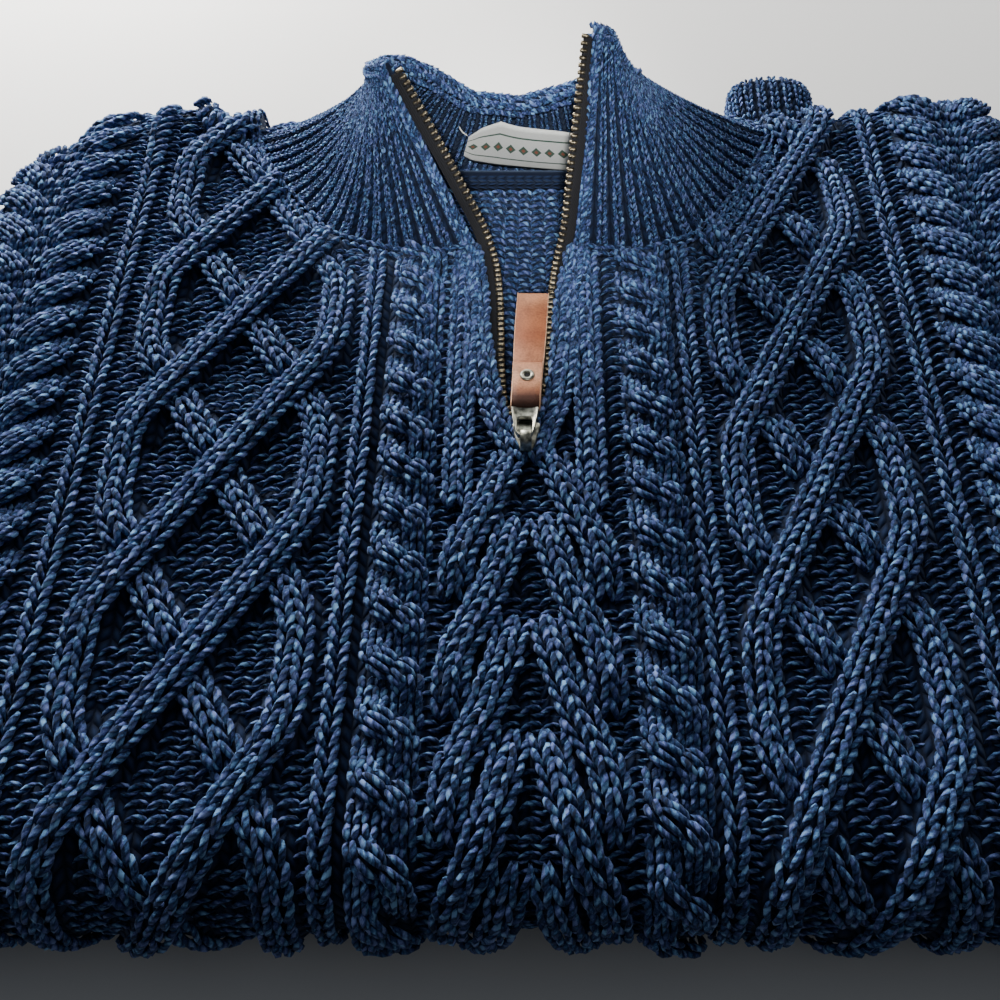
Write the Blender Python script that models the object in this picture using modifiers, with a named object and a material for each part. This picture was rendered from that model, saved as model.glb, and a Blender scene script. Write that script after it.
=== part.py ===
"""Half-zip sweater in cable knit, folded and lying face up.

Metres, +Z up. The sweater rests on Z = 0 with its front fold at -Y and its shoulders at +Y.
Tables and sizes below are in millimetres, and MM turns them into metres.
"""

import math

import bmesh
import bpy
import numpy as np

MM = 0.001
GAP = 0.3  # between neighbouring pieces
CENTRE = (0.28, 17.13)  # x, y of the middle of the whole sweater, which ends up on the origin

# ---- The folded body -------------------------------------------------------------------------
SIDE_FLAT = 187.0  # centre line to where the side fold starts to turn down
ROLL = 13.0  # outer radius of the side and shoulder folds
FRONT_FLAT = -120.5  # where the front fold starts to turn down
FRONT_ROLL = 25.0  # outer radius of the front fold
REAR_FLAT = 142.0  # where the shoulder fold starts to turn down
TOP = 2 * FRONT_ROLL  # height of the upper face, before the cables
WALL = 4.0  # cloth between its plain inner side and the ground of its outer side
SLEEVE_LIFT, SLEEVE_X, SLEEVE_SPREAD = 5.0, 165.0, 30.0  # sleeves folded beneath lift the sides
NECK_DIP, NECK_DIP_X, NECK_DIP_Y = 5.0, 80.0, 45.0  # and the cloth sinks round the neck
CORNER_START = 92.0  # where the shoulders start to round in
CORNER_LEFT, CORNER_RIGHT = 34.0, 9.0  # how far they come in

# ---- The knit, charted in rows ---------------------------------------------------------------
ROW_ZERO = 66.2  # Y of row 0; rows count towards the front fold
ROW_PITCH, ROW_GROWTH = 3.74, 0.0058  # rows lengthen slowly towards the front fold
RIGHT_SHIFT = 2.0  # rows by which the right half lies further forward
REPEAT = 16.0  # rows between two crossings at one place in the lattice
STRANDS = 4  # strands in a lattice
OVER, UNDER = 5.4, 4.0  # height of a strand that lies on top, and of one that passes below
STRAND_HALF = 7.0
RIB_HALF, RIB_HEIGHT = 5.0, 2.8
ROPE_ROWS = 4.0  # rows from one crossing of a rope to the next
ROPE_HEIGHT = 5.6
SOFT_U, SOFT_V = 2.4, 4.2  # how far apart the relief is averaged
BOUNCE_ROW = 5.0  # row where the left lattice's strands turn at its edges

# Cables on the panel: where each lies across the cloth, its half width, and which way it leans
LATTICES = (
    # first strand, last strand, row shift
    (-130.0, -63.5, 0.0),
    (62.5, 116.0, RIGHT_SHIFT),
)
ROPES = (
    # centre, half width, lean (+1 runs down to the right), row shift
    (-38.5, 8.6, 1, 0.0),
    (39.0, 8.6, 1, RIGHT_SHIFT),
    (-162.0, 11.0, -1, 0.0),
    (-184.0, 11.0, 1, 0.0),
    (149.0, 11.0, 1, RIGHT_SHIFT),
    (171.0, 11.0, -1, RIGHT_SHIFT),
)
RIBS = (-203.0, -141.5, -54.0, 53.0, 129.5, 190.0, 205.0)  # centres of the two-wale ribs
CHEVRON_FIRST, CHEVRON_STEP = 19.0, 8.0  # row of the first chevron arm, and rows to the next
CHEVRON_INNER, CHEVRON_OUTER = 5.5, 22.0  # from the centre line to an arm's start and end
CHEVRON_TURNS = (2.0, 12.0, 16.0)  # rows after its start where an arm leans, straightens and ends
PLACKET_HEIGHT = 3.4
PLACKET_BANDS = ((-22.5, 5.5), (17.5, 5.5))  # centre, half width of the bands beside the zip
SLIDER_REST = (-1.3, -3.5, 12.0)  # x, y and radius of the smooth place that the slider lies on

# ---- The neck and the slit -------------------------------------------------------------------
SLIT_ROW, NECK_ROW = 19, -5  # rows of the slit's lower end and of the neck's front corners
NECK_FRONT = (
    # X, Y along the front of the neck
    (-74.6, 84.755), (-60.0, 79.0), (-47.0, 76.8), (-30.0, 77.3), (-19.5, 79.5),
    (16.0, 79.5), (25.0, 77.5), (39.0, 76.8), (52.0, 79.0), (62.5, 84.755),
)
NECK_SIDE_LEFT = (
    # X, Y up the side of the neck to the shoulder fold
    (-74.6, 84.755), (-84.0, 95.0), (-92.5, 108.0), (-101.0, 124.0), (-107.0, 140.0), (-109.0, 172.0),
)
NECK_SIDE_RIGHT = (
    (62.5, 84.755), (72.0, 97.0), (81.0, 112.0), (89.0, 129.0), (94.0, 145.0), (95.0, 172.0),
)
SLIT_EDGES = (
    # Y, X of the left edge, X of the right edge
    (-6.9, 0.0, 0.0), (-3.5, -7.0, 5.0), (4.0, -9.0, 6.6), (10.0, -11.9, 8.1), (22.0, -13.1, 9.3),
    (40.0, -13.7, 10.3), (56.0, -14.3, 11.1), (75.0, -16.7, 13.5), (84.7, -19.5, 16.0),
)
PLACKET_LEFT, PLACKET_RIGHT = -28.0, 26.0  # the cloth between these gives way to the slit

# ---- Mesh density: CELL_ROWS to a cell on the outer side, INNER_STEP cells to one inside ------
INNER_STEP = 3  # where the cloth lies flat
CELL_ROWS = 2
SLIT_DENSE = 10.0  # Y on both sides of 0 where the slit's lower end needs every point
FOLD_END_ROW, SHOULDER_END_ROW = 67, -29
COLUMNS_LEFT = (
    # plain edge, side plait, outer rib, first half of the lattice
    (-219.5, -211.0, -203.0, -195.0, -189.5, -184.0, -178.5, -173.0, -167.5, -162.0, -156.5, -150.0),
    (-146.0, -141.5, -136.5),
    tuple(-130.0 + 5.54 * k for k in range(11)),
)
COLUMNS_LEFT_NECK = (
    # end of the lattice, inner rib, rope, band, chevrons
    (-74.6, -69.0, -63.5, -58.5, -54.0, -49.5, -44.0, -38.5, -33.0, -28.0),
    (-22.5, -17.5, -13.0, -8.7, -4.4, 0.0),
)
COLUMNS_RIGHT_NECK = (
    (0.0, 4.4, 8.7, 13.0, 17.5, 21.5, 26.0),
    (30.3, 34.7, 39.0, 43.3, 47.7, 50.5, 53.0, 57.7, 62.5),
)
COLUMNS_RIGHT = (
    tuple(62.5 + 4.458 * k for k in range(13)),
    (121.5, 125.5, 129.5, 136.5, 143.5, 149.0, 154.5, 160.0, 165.5, 171.0, 176.5, 184.0),
    (190.0, 198.0, 205.0, 212.0, 219.5),
)

# ---- The collar ------------------------------------------------------------------------------
COLLAR_WALL = 5.0
COLLAR_RIBS = 66
COLLAR_RIB_HEIGHT = 1.8
COLLAR_ROWS = 6
COLLAR_INNER_STEP = 4
COLLAR = (
    # seam x, y, z, rim x, y, z, flare: from the left zip edge round the back to the right one
    (-19.8, 81.6, 49.0, -49.5, 112.0, 100.5, 0.0),
    (-31.0, 79.4, 49.5, -51.0, 113.0, 100.0, 0.1),
    (-47.5, 78.8, 49.5, -52.5, 114.5, 98.5, 0.2),
    (-71.5, 87.0, 49.5, -55.0, 118.0, 95.5, 0.5),
    (-90.0, 110.0, 48.0, -56.5, 124.0, 92.5, 0.6),
    (-104.5, 138.0, 44.0, -51.5, 129.5, 91.5, 0.4),
    (-92.0, 149.0, 36.0, -43.0, 130.5, 90.5, 0.1),
    (-66.0, 151.0, 31.0, -33.0, 130.5, 85.5, 0.0),
    (-33.0, 150.0, 29.0, -21.0, 132.0, 75.0, 0.1),
    (-5.0, 149.5, 28.5, -4.0, 132.0, 73.0, 0.0),
    (22.0, 150.0, 29.0, 12.0, 132.0, 78.0, 0.1),
    (54.0, 151.0, 31.0, 24.5, 135.0, 80.5, 0.0),
    (79.0, 149.5, 37.0, 33.5, 135.5, 81.5, 0.1),
    (90.5, 140.0, 44.0, 37.0, 132.5, 84.0, 0.15),
    (79.0, 112.5, 48.0, 34.5, 129.0, 88.5, 0.2),
    (60.0, 86.8, 49.5, 31.0, 126.0, 96.5, 0.15),
    (39.5, 78.8, 49.5, 28.0, 124.0, 105.0, 0.1),
    (16.2, 81.6, 49.0, 22.3, 123.0, 107.5, 0.0),
)

# ---- The back, where it shows in the neck ----------------------------------------------------
BACK_HALF, BACK_CENTRE = 112.0, -7.0
BACK_FRONT, BACK_REAR = -46.0, 147.0
BACK_HIGH, BACK_LOW = 40.0, 26.5  # its upper side under the slit and at the neck seam
BACK_WALL = 4.0
BACK_CELLS_X, BACK_CELLS_Y = 20, 18

# ---- The hidden layers, as rings from the ground up ------------------------------------------
HIDDEN_RINGS = (
    # z, half width, half width beside the front fold, front y, rear y
    (0.0, 186.0, 178.0, -104.5, 138.0),
    (2.6, 194.0, 182.0, -104.5, 146.5),
    (5.2, 197.0, 183.0, -104.5, 149.5),
    (5.6, 197.3, 183.0, -123.0, 149.8),
    (12.0, 199.5, 184.0, -136.0, 151.0),
    (18.5, 197.0, 184.0, -139.0, 149.5),
    (23.0, 190.0, 183.0, -139.5, 143.0),
    (25.5, 182.0, 181.0, -139.6, 137.0),
    (30.0, 182.0, 181.0, -139.0, 137.0),
    (34.0, 182.0, 181.0, -137.5, 137.0),
    (39.0, 181.0, 180.0, -131.0, 135.0),
    (42.5, 176.0, 176.0, -121.0, 130.0),
)
HIDDEN_TOP_GAP = 3.6  # below the cloth that lies on it
HIDDEN_SLOPE = 0.8  # a ring that would stand above that cloth moves forward by this share of it
HIDDEN_POINTS = 56
HIDDEN_TOP_RINGS = (0.94, 0.86, 0.77, 0.66, 0.54, 0.41, 0.27, 0.13)
HIDDEN_NECK_IN = (-103.0, 26.0)  # the rings widen from the front fold over this start and run

# ---- The cuff that shows behind the right shoulder -------------------------------------------
CUFF_X, CUFF_HALF = 101.5, 17.0
CUFF_FRONT, CUFF_REAR = 160.0, 185.0
CUFF_LOW, CUFF_HIGH = 22.0, 41.5
CUFF_RIBS = 20
CUFF_RIB_HEIGHT = 1.2
CUFF_NOTCH = 3.5

# ---- The zip ---------------------------------------------------------------------------------
TEETH_HALF, TEETH_LOW, TEETH_HIGH = 1.3, -1.2, 1.2  # half width and height about the path
TAPE_NEAR, TAPE_FAR, TAPE_LOW, TAPE_HIGH = 1.6, 3.1, -0.9, 0.1
ZIP_PATHS = {
    # x, y, z of the teeth from the slider to the top of the collar
    "left": (
        (-5.0, 3.0, 48.6), (-8.2, 11.0, 48.6), (-9.4, 22.0, 48.6), (-10.0, 40.0, 48.6),
        (-10.6, 56.0, 48.8), (-12.8, 75.0, 49.6), (-15.5, 82.6, 53.5), (-23.0, 90.5, 67.0),
        (-43.6, 111.2, 99.5),
    ),
    "right": (
        (2.6, 3.0, 48.6), (4.4, 11.0, 48.6), (5.6, 22.0, 48.6), (6.6, 40.0, 48.6),
        (7.4, 56.0, 48.8), (9.8, 75.0, 49.6), (11.8, 82.8, 53.5), (13.6, 92.5, 67.0),
        (17.9, 120.0, 103.0),
    ),
}
ZIP_STATIONS = 15
SLIDER_X, SLIDER_Y = -1.3, -3.8
SLIDER_WIDE, SLIDER_LONG, SLIDER_NOSE = 9.6, 10.6, 6.4
SLIDER_LOW, SLIDER_HIGH = 51.0, 53.6
BAIL_WIDE, BAIL_STRAP, BAIL_HOLE = 3.0, 1.1, 3.5  # the hole lets the link's bar turn in it

# ---- The pull, modelled along +Y from its hinge and tipped down into the slit ----------------
HINGE = (-1.3, -4.6, 55.7)
PULL_TILT = math.radians(-4.5)
PULL_TURN = math.radians(-1.2)
LINK_WIDE, LINK_THICK, LINK_END = 8.4, 1.8, 13.6
LINK_NOSE = 1.0
LINK_HOLE_WIDE, LINK_HOLE = 4.6, (1.0, 9.4)
LEATHER_WIDE, LEATHER_THICK, LEATHER_ENDS = 10.8, 3.2, (14.0, 62.0)
RIVET_Y, RIVET_RADIUS, RIVET_HIGH = 25.0, 2.3, 0.9

# ---- The label inside the back of the neck ---------------------------------------------------
LABEL_SHARES = (0.456, 0.583)  # of the way round the collar
LABEL_HEIGHTS = (0.03, 0.70)  # of the collar's height
LABEL_THICK = 0.8


def blend(value, start, run):
    """0 before start, 1 after start + run, and smooth between."""
    t = np.clip((np.asarray(value, float) - start) / run, 0.0, 1.0)
    return t * t * (3.0 - 2.0 * t)


def bump(distance, half):
    """A smooth ridge of height 1 and the given half width."""
    t = np.clip(np.abs(distance) / half, 0.0, 1.0)
    return np.cos(t * math.pi / 2) ** 1.4


def row_of(v):
    """The chart's row at the distance v along the cloth."""
    under_root = ROW_PITCH**2 + 4 * ROW_GROWTH * (ROW_ZERO - v)
    return (np.sqrt(under_root) - ROW_PITCH) / (2 * ROW_GROWTH)


def cloth_at(rows):
    """The distance along the cloth at the chart's rows."""
    rows = np.asarray(rows, float)
    return ROW_ZERO - ROW_PITCH * rows - ROW_GROWTH * rows**2


def lattice(u, row, first, last, shift):
    """Height of four strands that cross and turn back at both edges of their panel."""
    spacing = (last - first) / (STRANDS - 1)
    height = np.zeros_like(u)
    for strand in range(STRANDS):
        turn = (row - shift - BOUNCE_ROW + 60.0 + strand * REPEAT) % (STRANDS * REPEAT)
        slot = np.interp(turn, (0, 24, 32, 56, 64), (3, 0, 0, 3, 3))
        slot = 0.12 + slot * 0.92
        on_top = (turn < 24) | (turn > 58)
        lean = np.where((turn < 24) | ((turn > 32) & (turn < 56)), 1.22, 1.0)
        crest = np.where(on_top, OVER, UNDER)
        strand_height = crest * bump(u - first - slot * spacing, STRAND_HALF * lean)
        height = np.maximum(height, strand_height)
    return height


def rope(u, row, centre, half, lean, shift):
    """Height of a two-strand rope that crosses every ROPE_ROWS rows."""
    phase = ((row - shift) / ROPE_ROWS + 0.5) % 1.0
    swing = lean * half * 0.46 * np.cos(math.pi * phase)
    over = ROPE_HEIGHT * bump(u - centre + swing, half * 0.74)
    under = 0.62 * ROPE_HEIGHT * bump(u - centre - swing, half * 0.62)
    return np.maximum(over, under)


def chevron(u, row):
    """Height of the nested arms that leave the centre line below the zip."""
    height = np.zeros_like(u)
    lean_row, straight_row, end_row = CHEVRON_TURNS
    for side, shift in ((-1, 0.0), (1, RIGHT_SHIFT)):
        for number in range(10):
            start = CHEVRON_FIRST + shift + number * CHEVRON_STEP
            reach = np.interp(row - start, (lean_row, straight_row), (CHEVRON_INNER, CHEVRON_OUTER))
            shown = blend(row, start - 1.0, 2.0) * (1 - blend(row, start + end_row - 1.0, 2.0))
            arm = OVER * bump(side * u - reach, STRAND_HALF) * shown
            height = np.maximum(height, arm)
    return height


def sharp_relief(u, v):
    """How far the knit stands out of the panel's ground at one point."""
    row = row_of(v)
    height = np.zeros_like(u)
    for first, last, shift in LATTICES:
        height = np.maximum(height, lattice(u, row, first, last, shift))
    for centre, half, lean, shift in ROPES:
        height = np.maximum(height, rope(u, row, centre, half, lean, shift))
    for centre in RIBS:
        height = np.maximum(height, RIB_HEIGHT * bump(u - centre, RIB_HALF))
    height = np.maximum(height, chevron(u, row))
    above = 1 - blend(row, CHEVRON_FIRST + 4.0, 3.0)
    for centre, half in PLACKET_BANDS:
        height = np.maximum(height, PLACKET_HEIGHT * bump(u - centre, half) * above)
    rest_x, rest_y, rest_radius = SLIDER_REST
    beside_slider = 1 - np.exp(-(((u - rest_x) / rest_radius) ** 4) - ((v - rest_y) / rest_radius) ** 4)
    over_ground = 1 - blend(FRONT_FLAT - v, FRONT_ROLL * 2.0, FRONT_ROLL * 0.8)
    before_shoulder = 1 - 0.8 * blend(v, REAR_FLAT - 6.0, 16.0)
    return height * beside_slider * over_ground * before_shoulder


def relief(u, v):
    """The knit's relief, softened over a cell of the mesh."""
    total = 2.0 * sharp_relief(u, v)
    for step_u, step_v in ((-SOFT_U, 0.0), (SOFT_U, 0.0), (0.0, -SOFT_V), (0.0, SOFT_V)):
        total = total + sharp_relief(u + step_u, v + step_v)
    return total / 6.0


def cloth_height(x, y):
    """Height of the upper face of the folded body."""
    sleeves = SLEEVE_LIFT * np.exp(-(((np.abs(x) - SLEEVE_X) / SLEEVE_SPREAD) ** 2))
    sleeves = sleeves * (0.35 + 0.65 * blend(y, -60.0, 150.0))
    neck = NECK_DIP * np.exp(-(((x + 7.0) / NECK_DIP_X) ** 2) - ((y - 132.0) / NECK_DIP_Y) ** 2)
    return TOP + sleeves - neck


def lay(u, v, out):
    """Points of the front panel: u across the cloth, v along it, out of its ground by out."""
    u, v, out = np.broadcast_arrays(np.asarray(u, float), np.asarray(v, float), np.asarray(out, float))
    side = np.sign(u)
    side_turn = np.clip((np.abs(u) - SIDE_FLAT) / ROLL, 0.0, None)
    rear_turn = np.clip((v - REAR_FLAT) / ROLL, 0.0, None)
    front_turn = np.clip((FRONT_FLAT - v) / FRONT_ROLL, 0.0, math.pi)
    beyond = np.clip(FRONT_FLAT - math.pi * FRONT_ROLL - v, 0.0, None)
    turn = np.maximum(side_turn, rear_turn)
    small = np.minimum(side_turn, rear_turn) / np.maximum(turn, 1e-9)
    heading = np.where(side_turn >= rear_turn, small * math.pi / 4, math.pi / 2 - small * math.pi / 4)
    heading = np.where(turn > 0, heading, 0.0)
    reach = (ROLL + out) * np.sin(turn)
    drop = ROLL - (ROLL + out) * np.cos(turn)
    x_plain = side * (np.minimum(np.abs(u), SIDE_FLAT) + reach * np.cos(heading))
    corner = np.where(side < 0, CORNER_LEFT, CORNER_RIGHT)
    come_in = corner * np.clip((v - CORNER_START) / (REAR_FLAT - CORNER_START), 0.0, 1.15) ** 2
    x = x_plain - side * come_in * blend(np.abs(u), 100.0, 90.0)
    y_flat = np.clip(v, FRONT_FLAT, REAR_FLAT)
    lift = (cloth_height(x_plain, y_flat) - TOP) * (1 + np.cos(front_turn)) / 2
    centre_z = TOP - FRONT_ROLL
    radius = FRONT_ROLL + lift - drop
    y = y_flat + reach * np.sin(heading) - radius * np.sin(front_turn) + beyond
    z = centre_z + radius * np.cos(front_turn)
    return np.stack((x, y, z), axis=-1)


class Solid:
    """Collects points and faces in millimetres and joins the points that meet."""

    def __init__(self):
        self.points = []
        self.faces = []

    def add(self, points):
        """Stores an array of points and returns their numbers in its shape."""
        points = np.asarray(points, float)
        start = len(self.points)
        self.points.extend(points.reshape(-1, 3))
        return np.arange(start, len(self.points)).reshape(points.shape[:-1])

    def ridged_sheet(self, numbers, height):
        """Triangles of a grid, each cell split along its higher diagonal."""
        for row in range(numbers.shape[0] - 1):
            for column in range(numbers.shape[1] - 1):
                a, b = numbers[row, column], numbers[row, column + 1]
                d, c = numbers[row + 1, column], numbers[row + 1, column + 1]
                rising = height[row, column] + height[row + 1, column + 1]
                falling = height[row, column + 1] + height[row + 1, column]
                if rising >= falling:
                    self.faces.extend(((a, b, c), (a, c, d)))
                else:
                    self.faces.extend(((a, b, d), (b, c, d)))

    def sheet(self, numbers, flip=False):
        """Faces between neighbouring points of a grid."""
        for row in range(numbers.shape[0] - 1):
            for column in range(numbers.shape[1] - 1):
                corners = (
                    numbers[row, column],
                    numbers[row, column + 1],
                    numbers[row + 1, column + 1],
                    numbers[row + 1, column],
                )
                self.faces.append(corners[::-1] if flip else corners)

    def rim(self, fine, coarse, keep):
        """Faces between a fine edge and the coarse edge that follows its points in keep."""
        for number in range(len(coarse) - 1):
            run = fine[keep[number] : keep[number + 1] + 1]
            middle = (len(run) - 1) // 2
            strips = [(coarse[number], run[k + 1], run[k]) for k in range(middle)]
            strips.append((coarse[number], coarse[number + 1], run[middle]))
            strips += [(coarse[number + 1], run[k + 1], run[k]) for k in range(middle, len(run) - 1)]
            self.faces.extend(strips)

    def build(self, name, material):
        """The closed mesh object."""
        mesh = bpy.data.meshes.new(name)
        mesh.from_pydata([tuple(point * MM) for point in self.points], [], self.faces)
        shape = bmesh.new()
        shape.from_mesh(mesh)
        bmesh.ops.remove_doubles(shape, verts=shape.verts, dist=1e-6)
        bmesh.ops.triangulate(shape, faces=shape.faces, quad_method="SHORT_EDGE")
        bmesh.ops.recalc_face_normals(shape, faces=shape.faces)
        shape.to_mesh(mesh)
        shape.free()
        mesh.shade_smooth()
        mesh.set_sharp_from_angle(angle=math.radians(50))
        return place(name, mesh, material)


def place(name, data, material):
    """Adds an object with its material to the sweater's collection."""
    piece = bpy.data.objects.new(name, data)
    bpy.data.collections[COLLECTION].objects.link(piece)
    data.materials.clear()
    data.materials.append(material)
    return piece


COLLECTION, CUTTERS = "zip_cable_knit_sweater", "cutters"


def finish(name, colour, roughness, metallic=0.0):
    """A plain material in a piece's own colour."""
    material = bpy.data.materials.new(name)
    material.use_nodes = True
    shader = material.node_tree.nodes["Principled BSDF"]
    shader.inputs["Base Color"].default_value = (*colour, 1.0)
    shader.inputs["Roughness"].default_value = roughness
    shader.inputs["Metallic"].default_value = metallic
    return material


def sparse(turned):
    """Numbers of the points to keep inside: all where the cloth turns, and some where it is flat."""
    last = len(turned) - 1
    keep = [0]
    while keep[-1] < last:
        ahead = min(keep[-1] + INNER_STEP, last)
        keep.append(keep[-1] + 1 if turned[keep[-1] : ahead + 1].any() else ahead)
    return keep


def front_block(solid, u, v, keep_u, keep_v, rims):
    """One part of the front panel: cloth positions of its fine grid, and its free sides."""
    height = relief(u, v)
    outer = solid.add(lay(u, v, height))
    inner = solid.add(lay(u[np.ix_(keep_v, keep_u)], v[np.ix_(keep_v, keep_u)], -WALL))
    solid.ridged_sheet(outer, height)
    solid.sheet(inner, flip=True)
    sides = {
        "front": (outer[0], inner[0], keep_u),
        "rear": (outer[-1], inner[-1], keep_u),
        "left": (outer[:, 0], inner[:, 0], keep_v),
        "right": (outer[:, -1], inner[:, -1], keep_v),
    }
    for side in rims:
        solid.rim(*sides[side])


def cell_rows(first, last):
    """Distances along the cloth of the mesh's rows, from one row of the chart up to another."""
    return cloth_at(np.arange(first, last - 1, -CELL_ROWS))


def placket_columns(columns, rows, edge_x, keep):
    """Columns that give way to the slit between keep and its edge, for each row."""
    edge = np.interp(rows, [y for y, *_ in SLIT_EDGES], edge_x)[:, None]
    narrowed = keep + (columns - keep) * (edge - keep) / (0.0 - keep)
    return np.where(np.abs(columns) < abs(keep), narrowed, columns)


def shoulder_columns(columns, rows, side_of_neck):
    """Columns that draw together between the side fold and the side of the neck."""
    edge = np.interp(rows, [y for _, y in side_of_neck], [x for x, _ in side_of_neck])[:, None]
    outer = columns[np.argmax(np.abs(columns))]
    corner = columns[np.argmin(np.abs(columns))]
    kept = blend(np.abs(columns), abs(corner), abs(outer) - abs(corner))
    return columns + (edge - corner) * (1 - kept)


def make_front(material):
    """The front panel, with the cables raised in its outer side, a slit and the neck."""
    solid = Solid()
    left, left_neck = np.concatenate(COLUMNS_LEFT), np.concatenate(COLUMNS_LEFT_NECK)
    right_neck, right = np.concatenate(COLUMNS_RIGHT_NECK), np.concatenate(COLUMNS_RIGHT)
    left[-1], right[0] = left_neck[0], right_neck[-1]
    folded = cell_rows(FOLD_END_ROW, SLIT_ROW)
    lower = cell_rows(SLIT_ROW, NECK_ROW)
    upper = cell_rows(NECK_ROW, SHOULDER_END_ROW)

    def block(columns, rows, rims, u=None, v=None):
        """A block over a grid of columns and rows, moved to u and v where they are given."""
        plain_u, plain_v = np.meshgrid(columns, rows)
        turned_u = np.abs(columns) > SIDE_FLAT - 3.0
        turned_v = (rows < FRONT_FLAT + 5.0) | (rows > REAR_FLAT - 2.0) | (np.abs(rows) < SLIT_DENSE)
        u = plain_u if u is None else u
        v = plain_v if v is None else v
        front_block(solid, u, v, sparse(turned_u), sparse(turned_v), rims)

    block(left, folded, ("front", "left"))
    block(left_neck, folded, ("front",))
    block(right_neck, folded, ("front",))
    block(right, folded, ("front", "right"))
    block(left, lower, ("left",))
    block(right, lower, ("right",))

    neck_x, neck_y = zip(*NECK_FRONT)
    share = ((lower - lower[0]) / (lower[-1] - lower[0]))[:, None]
    left_x, right_x = ([row[side] for row in SLIT_EDGES] for side in (1, 2))
    for columns, edge_x, keep, rims in (
        (left_neck, left_x, PLACKET_LEFT, ("rear", "right")),
        (right_neck, right_x, PLACKET_RIGHT, ("rear", "left")),
    ):
        u = placket_columns(columns, lower, edge_x, keep)
        top = np.interp(u[-1], neck_x, neck_y)
        block(columns, lower, rims, u, lower[0] + (top - lower[0]) * share)

    for columns, side_of_neck in ((left, NECK_SIDE_LEFT), (right, NECK_SIDE_RIGHT)):
        block(columns, upper, ("rear", "left", "right"), shoulder_columns(columns, upper, side_of_neck))
    return solid.build("front", material)


def collar_section(share, rib_height, inward, heights=None):
    """One line of the collar, from its seam to its rim, at a share of the way round."""
    table = np.array(COLLAR)
    spans = np.linalg.norm(np.diff(table[:, :3], axis=0), axis=1)
    stations = np.concatenate(([0.0], np.cumsum(spans))) / spans.sum()
    row = np.array([np.interp(share, stations, table[:, k]) for k in range(table.shape[1])])
    ahead = np.array([np.interp(min(share + 0.01, 1), stations, table[:, k]) for k in range(6)])
    behind = np.array([np.interp(max(share - 0.01, 0), stations, table[:, k]) for k in range(6)])
    seam, rim, flare = row[:3], row[3:6], row[6]
    t = np.linspace(0.0, 1.0, COLLAR_ROWS + 1)[:, None] if heights is None else heights[:, None]
    level = t ** (1 + 0.9 * flare)
    sideways = 1 - (1 - t) ** (1 + 0.7 * flare)
    line = np.concatenate(
        (seam[:2] + (rim[:2] - seam[:2]) * sideways, seam[2] + (rim[2] - seam[2]) * level), axis=1
    )
    along = (ahead[:3] - behind[:3]) * (1 - t) + (ahead[3:6] - behind[3:6]) * t
    up = np.gradient(line, axis=0)
    outward = np.cross(up, along)
    outward /= np.linalg.norm(outward, axis=1)[:, None]
    return line + outward * (rib_height * (1 - 0.35 * t) - inward)


def make_collar(material):
    """The funnel collar, ribbed outside, open at the front for the zip."""
    solid = Solid()
    columns = COLLAR_RIBS * 2
    outer = []
    for column in range(columns + 1):
        height = COLLAR_RIB_HEIGHT if column % 2 else 0.0
        outer.append(collar_section(column / columns, height, 0.0))
    keep = list(range(0, columns + 1, COLLAR_INNER_STEP))
    keep_rows = list(range(COLLAR_ROWS + 1))
    inner = [collar_section(column / columns, 0.0, COLLAR_WALL) for column in keep]
    outer = solid.add(np.stack(outer, axis=1))
    inner = solid.add(np.stack(inner, axis=1))
    solid.sheet(outer)
    solid.sheet(inner, flip=True)
    solid.rim(outer[0], inner[0], keep)
    solid.rim(outer[-1], inner[-1], keep)
    solid.rim(outer[:, 0], inner[:, 0], keep_rows)
    solid.rim(outer[:, -1], inner[:, -1], keep_rows)
    return solid.build("collar", material)


def back_height(x, y):
    """Height of the back's inner side, which faces up in the neck."""
    sink = blend(y, 40.0, 95.0)
    beside = 3.0 * blend(np.abs(x - BACK_CENTRE), 60.0, 50.0) * (1 - sink)
    return BACK_HIGH + (BACK_LOW - BACK_HIGH) * sink - beside


def make_back(material):
    """The back panel where it shows in the neck, with its rear edge turned down."""
    solid = Solid()
    x, y = np.meshgrid(
        np.linspace(BACK_CENTRE - BACK_HALF, BACK_CENTRE + BACK_HALF, BACK_CELLS_X + 1),
        np.linspace(BACK_FRONT, BACK_REAR, BACK_CELLS_Y + 1),
    )
    z = back_height(x, y)
    upper = solid.add(np.stack((x, y, z), axis=-1))
    lower = solid.add(np.stack((x, y, z - BACK_WALL), axis=-1))
    solid.sheet(upper)
    solid.sheet(lower, flip=True)
    for first, second in (
        (upper[0], lower[0]),
        (upper[-1], lower[-1]),
        (upper[:, 0], lower[:, 0]),
        (upper[:, -1], lower[:, -1]),
    ):
        solid.sheet(np.stack((first, second)))
    return solid.build("back", material)


def ring_points(half, half_front, front, rear):
    """A rounded outline of the hidden layers at one level."""
    start, run = HIDDEN_NECK_IN
    angle = np.linspace(0.0, 2 * math.pi, HIDDEN_POINTS, endpoint=False)
    across, along = np.cos(angle), np.sin(angle)
    square = np.maximum(np.abs(across), np.abs(along))
    across, along = across / square, along / square
    power = 7.0
    rounding = (np.abs(across) ** power + np.abs(along) ** power) ** (-1 / power)
    across, along = across * rounding, along * rounding
    y = (front + rear) / 2 + along * (rear - front) / 2
    reach = half_front + (half - half_front) * blend(y, start, run)
    corner = np.where(across < 0, CORNER_LEFT, CORNER_RIGHT)
    come_in = corner * np.clip((y - CORNER_START) / (REAR_FLAT - CORNER_START), 0.0, 1.0) ** 2
    return across * (reach - come_in), y


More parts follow.
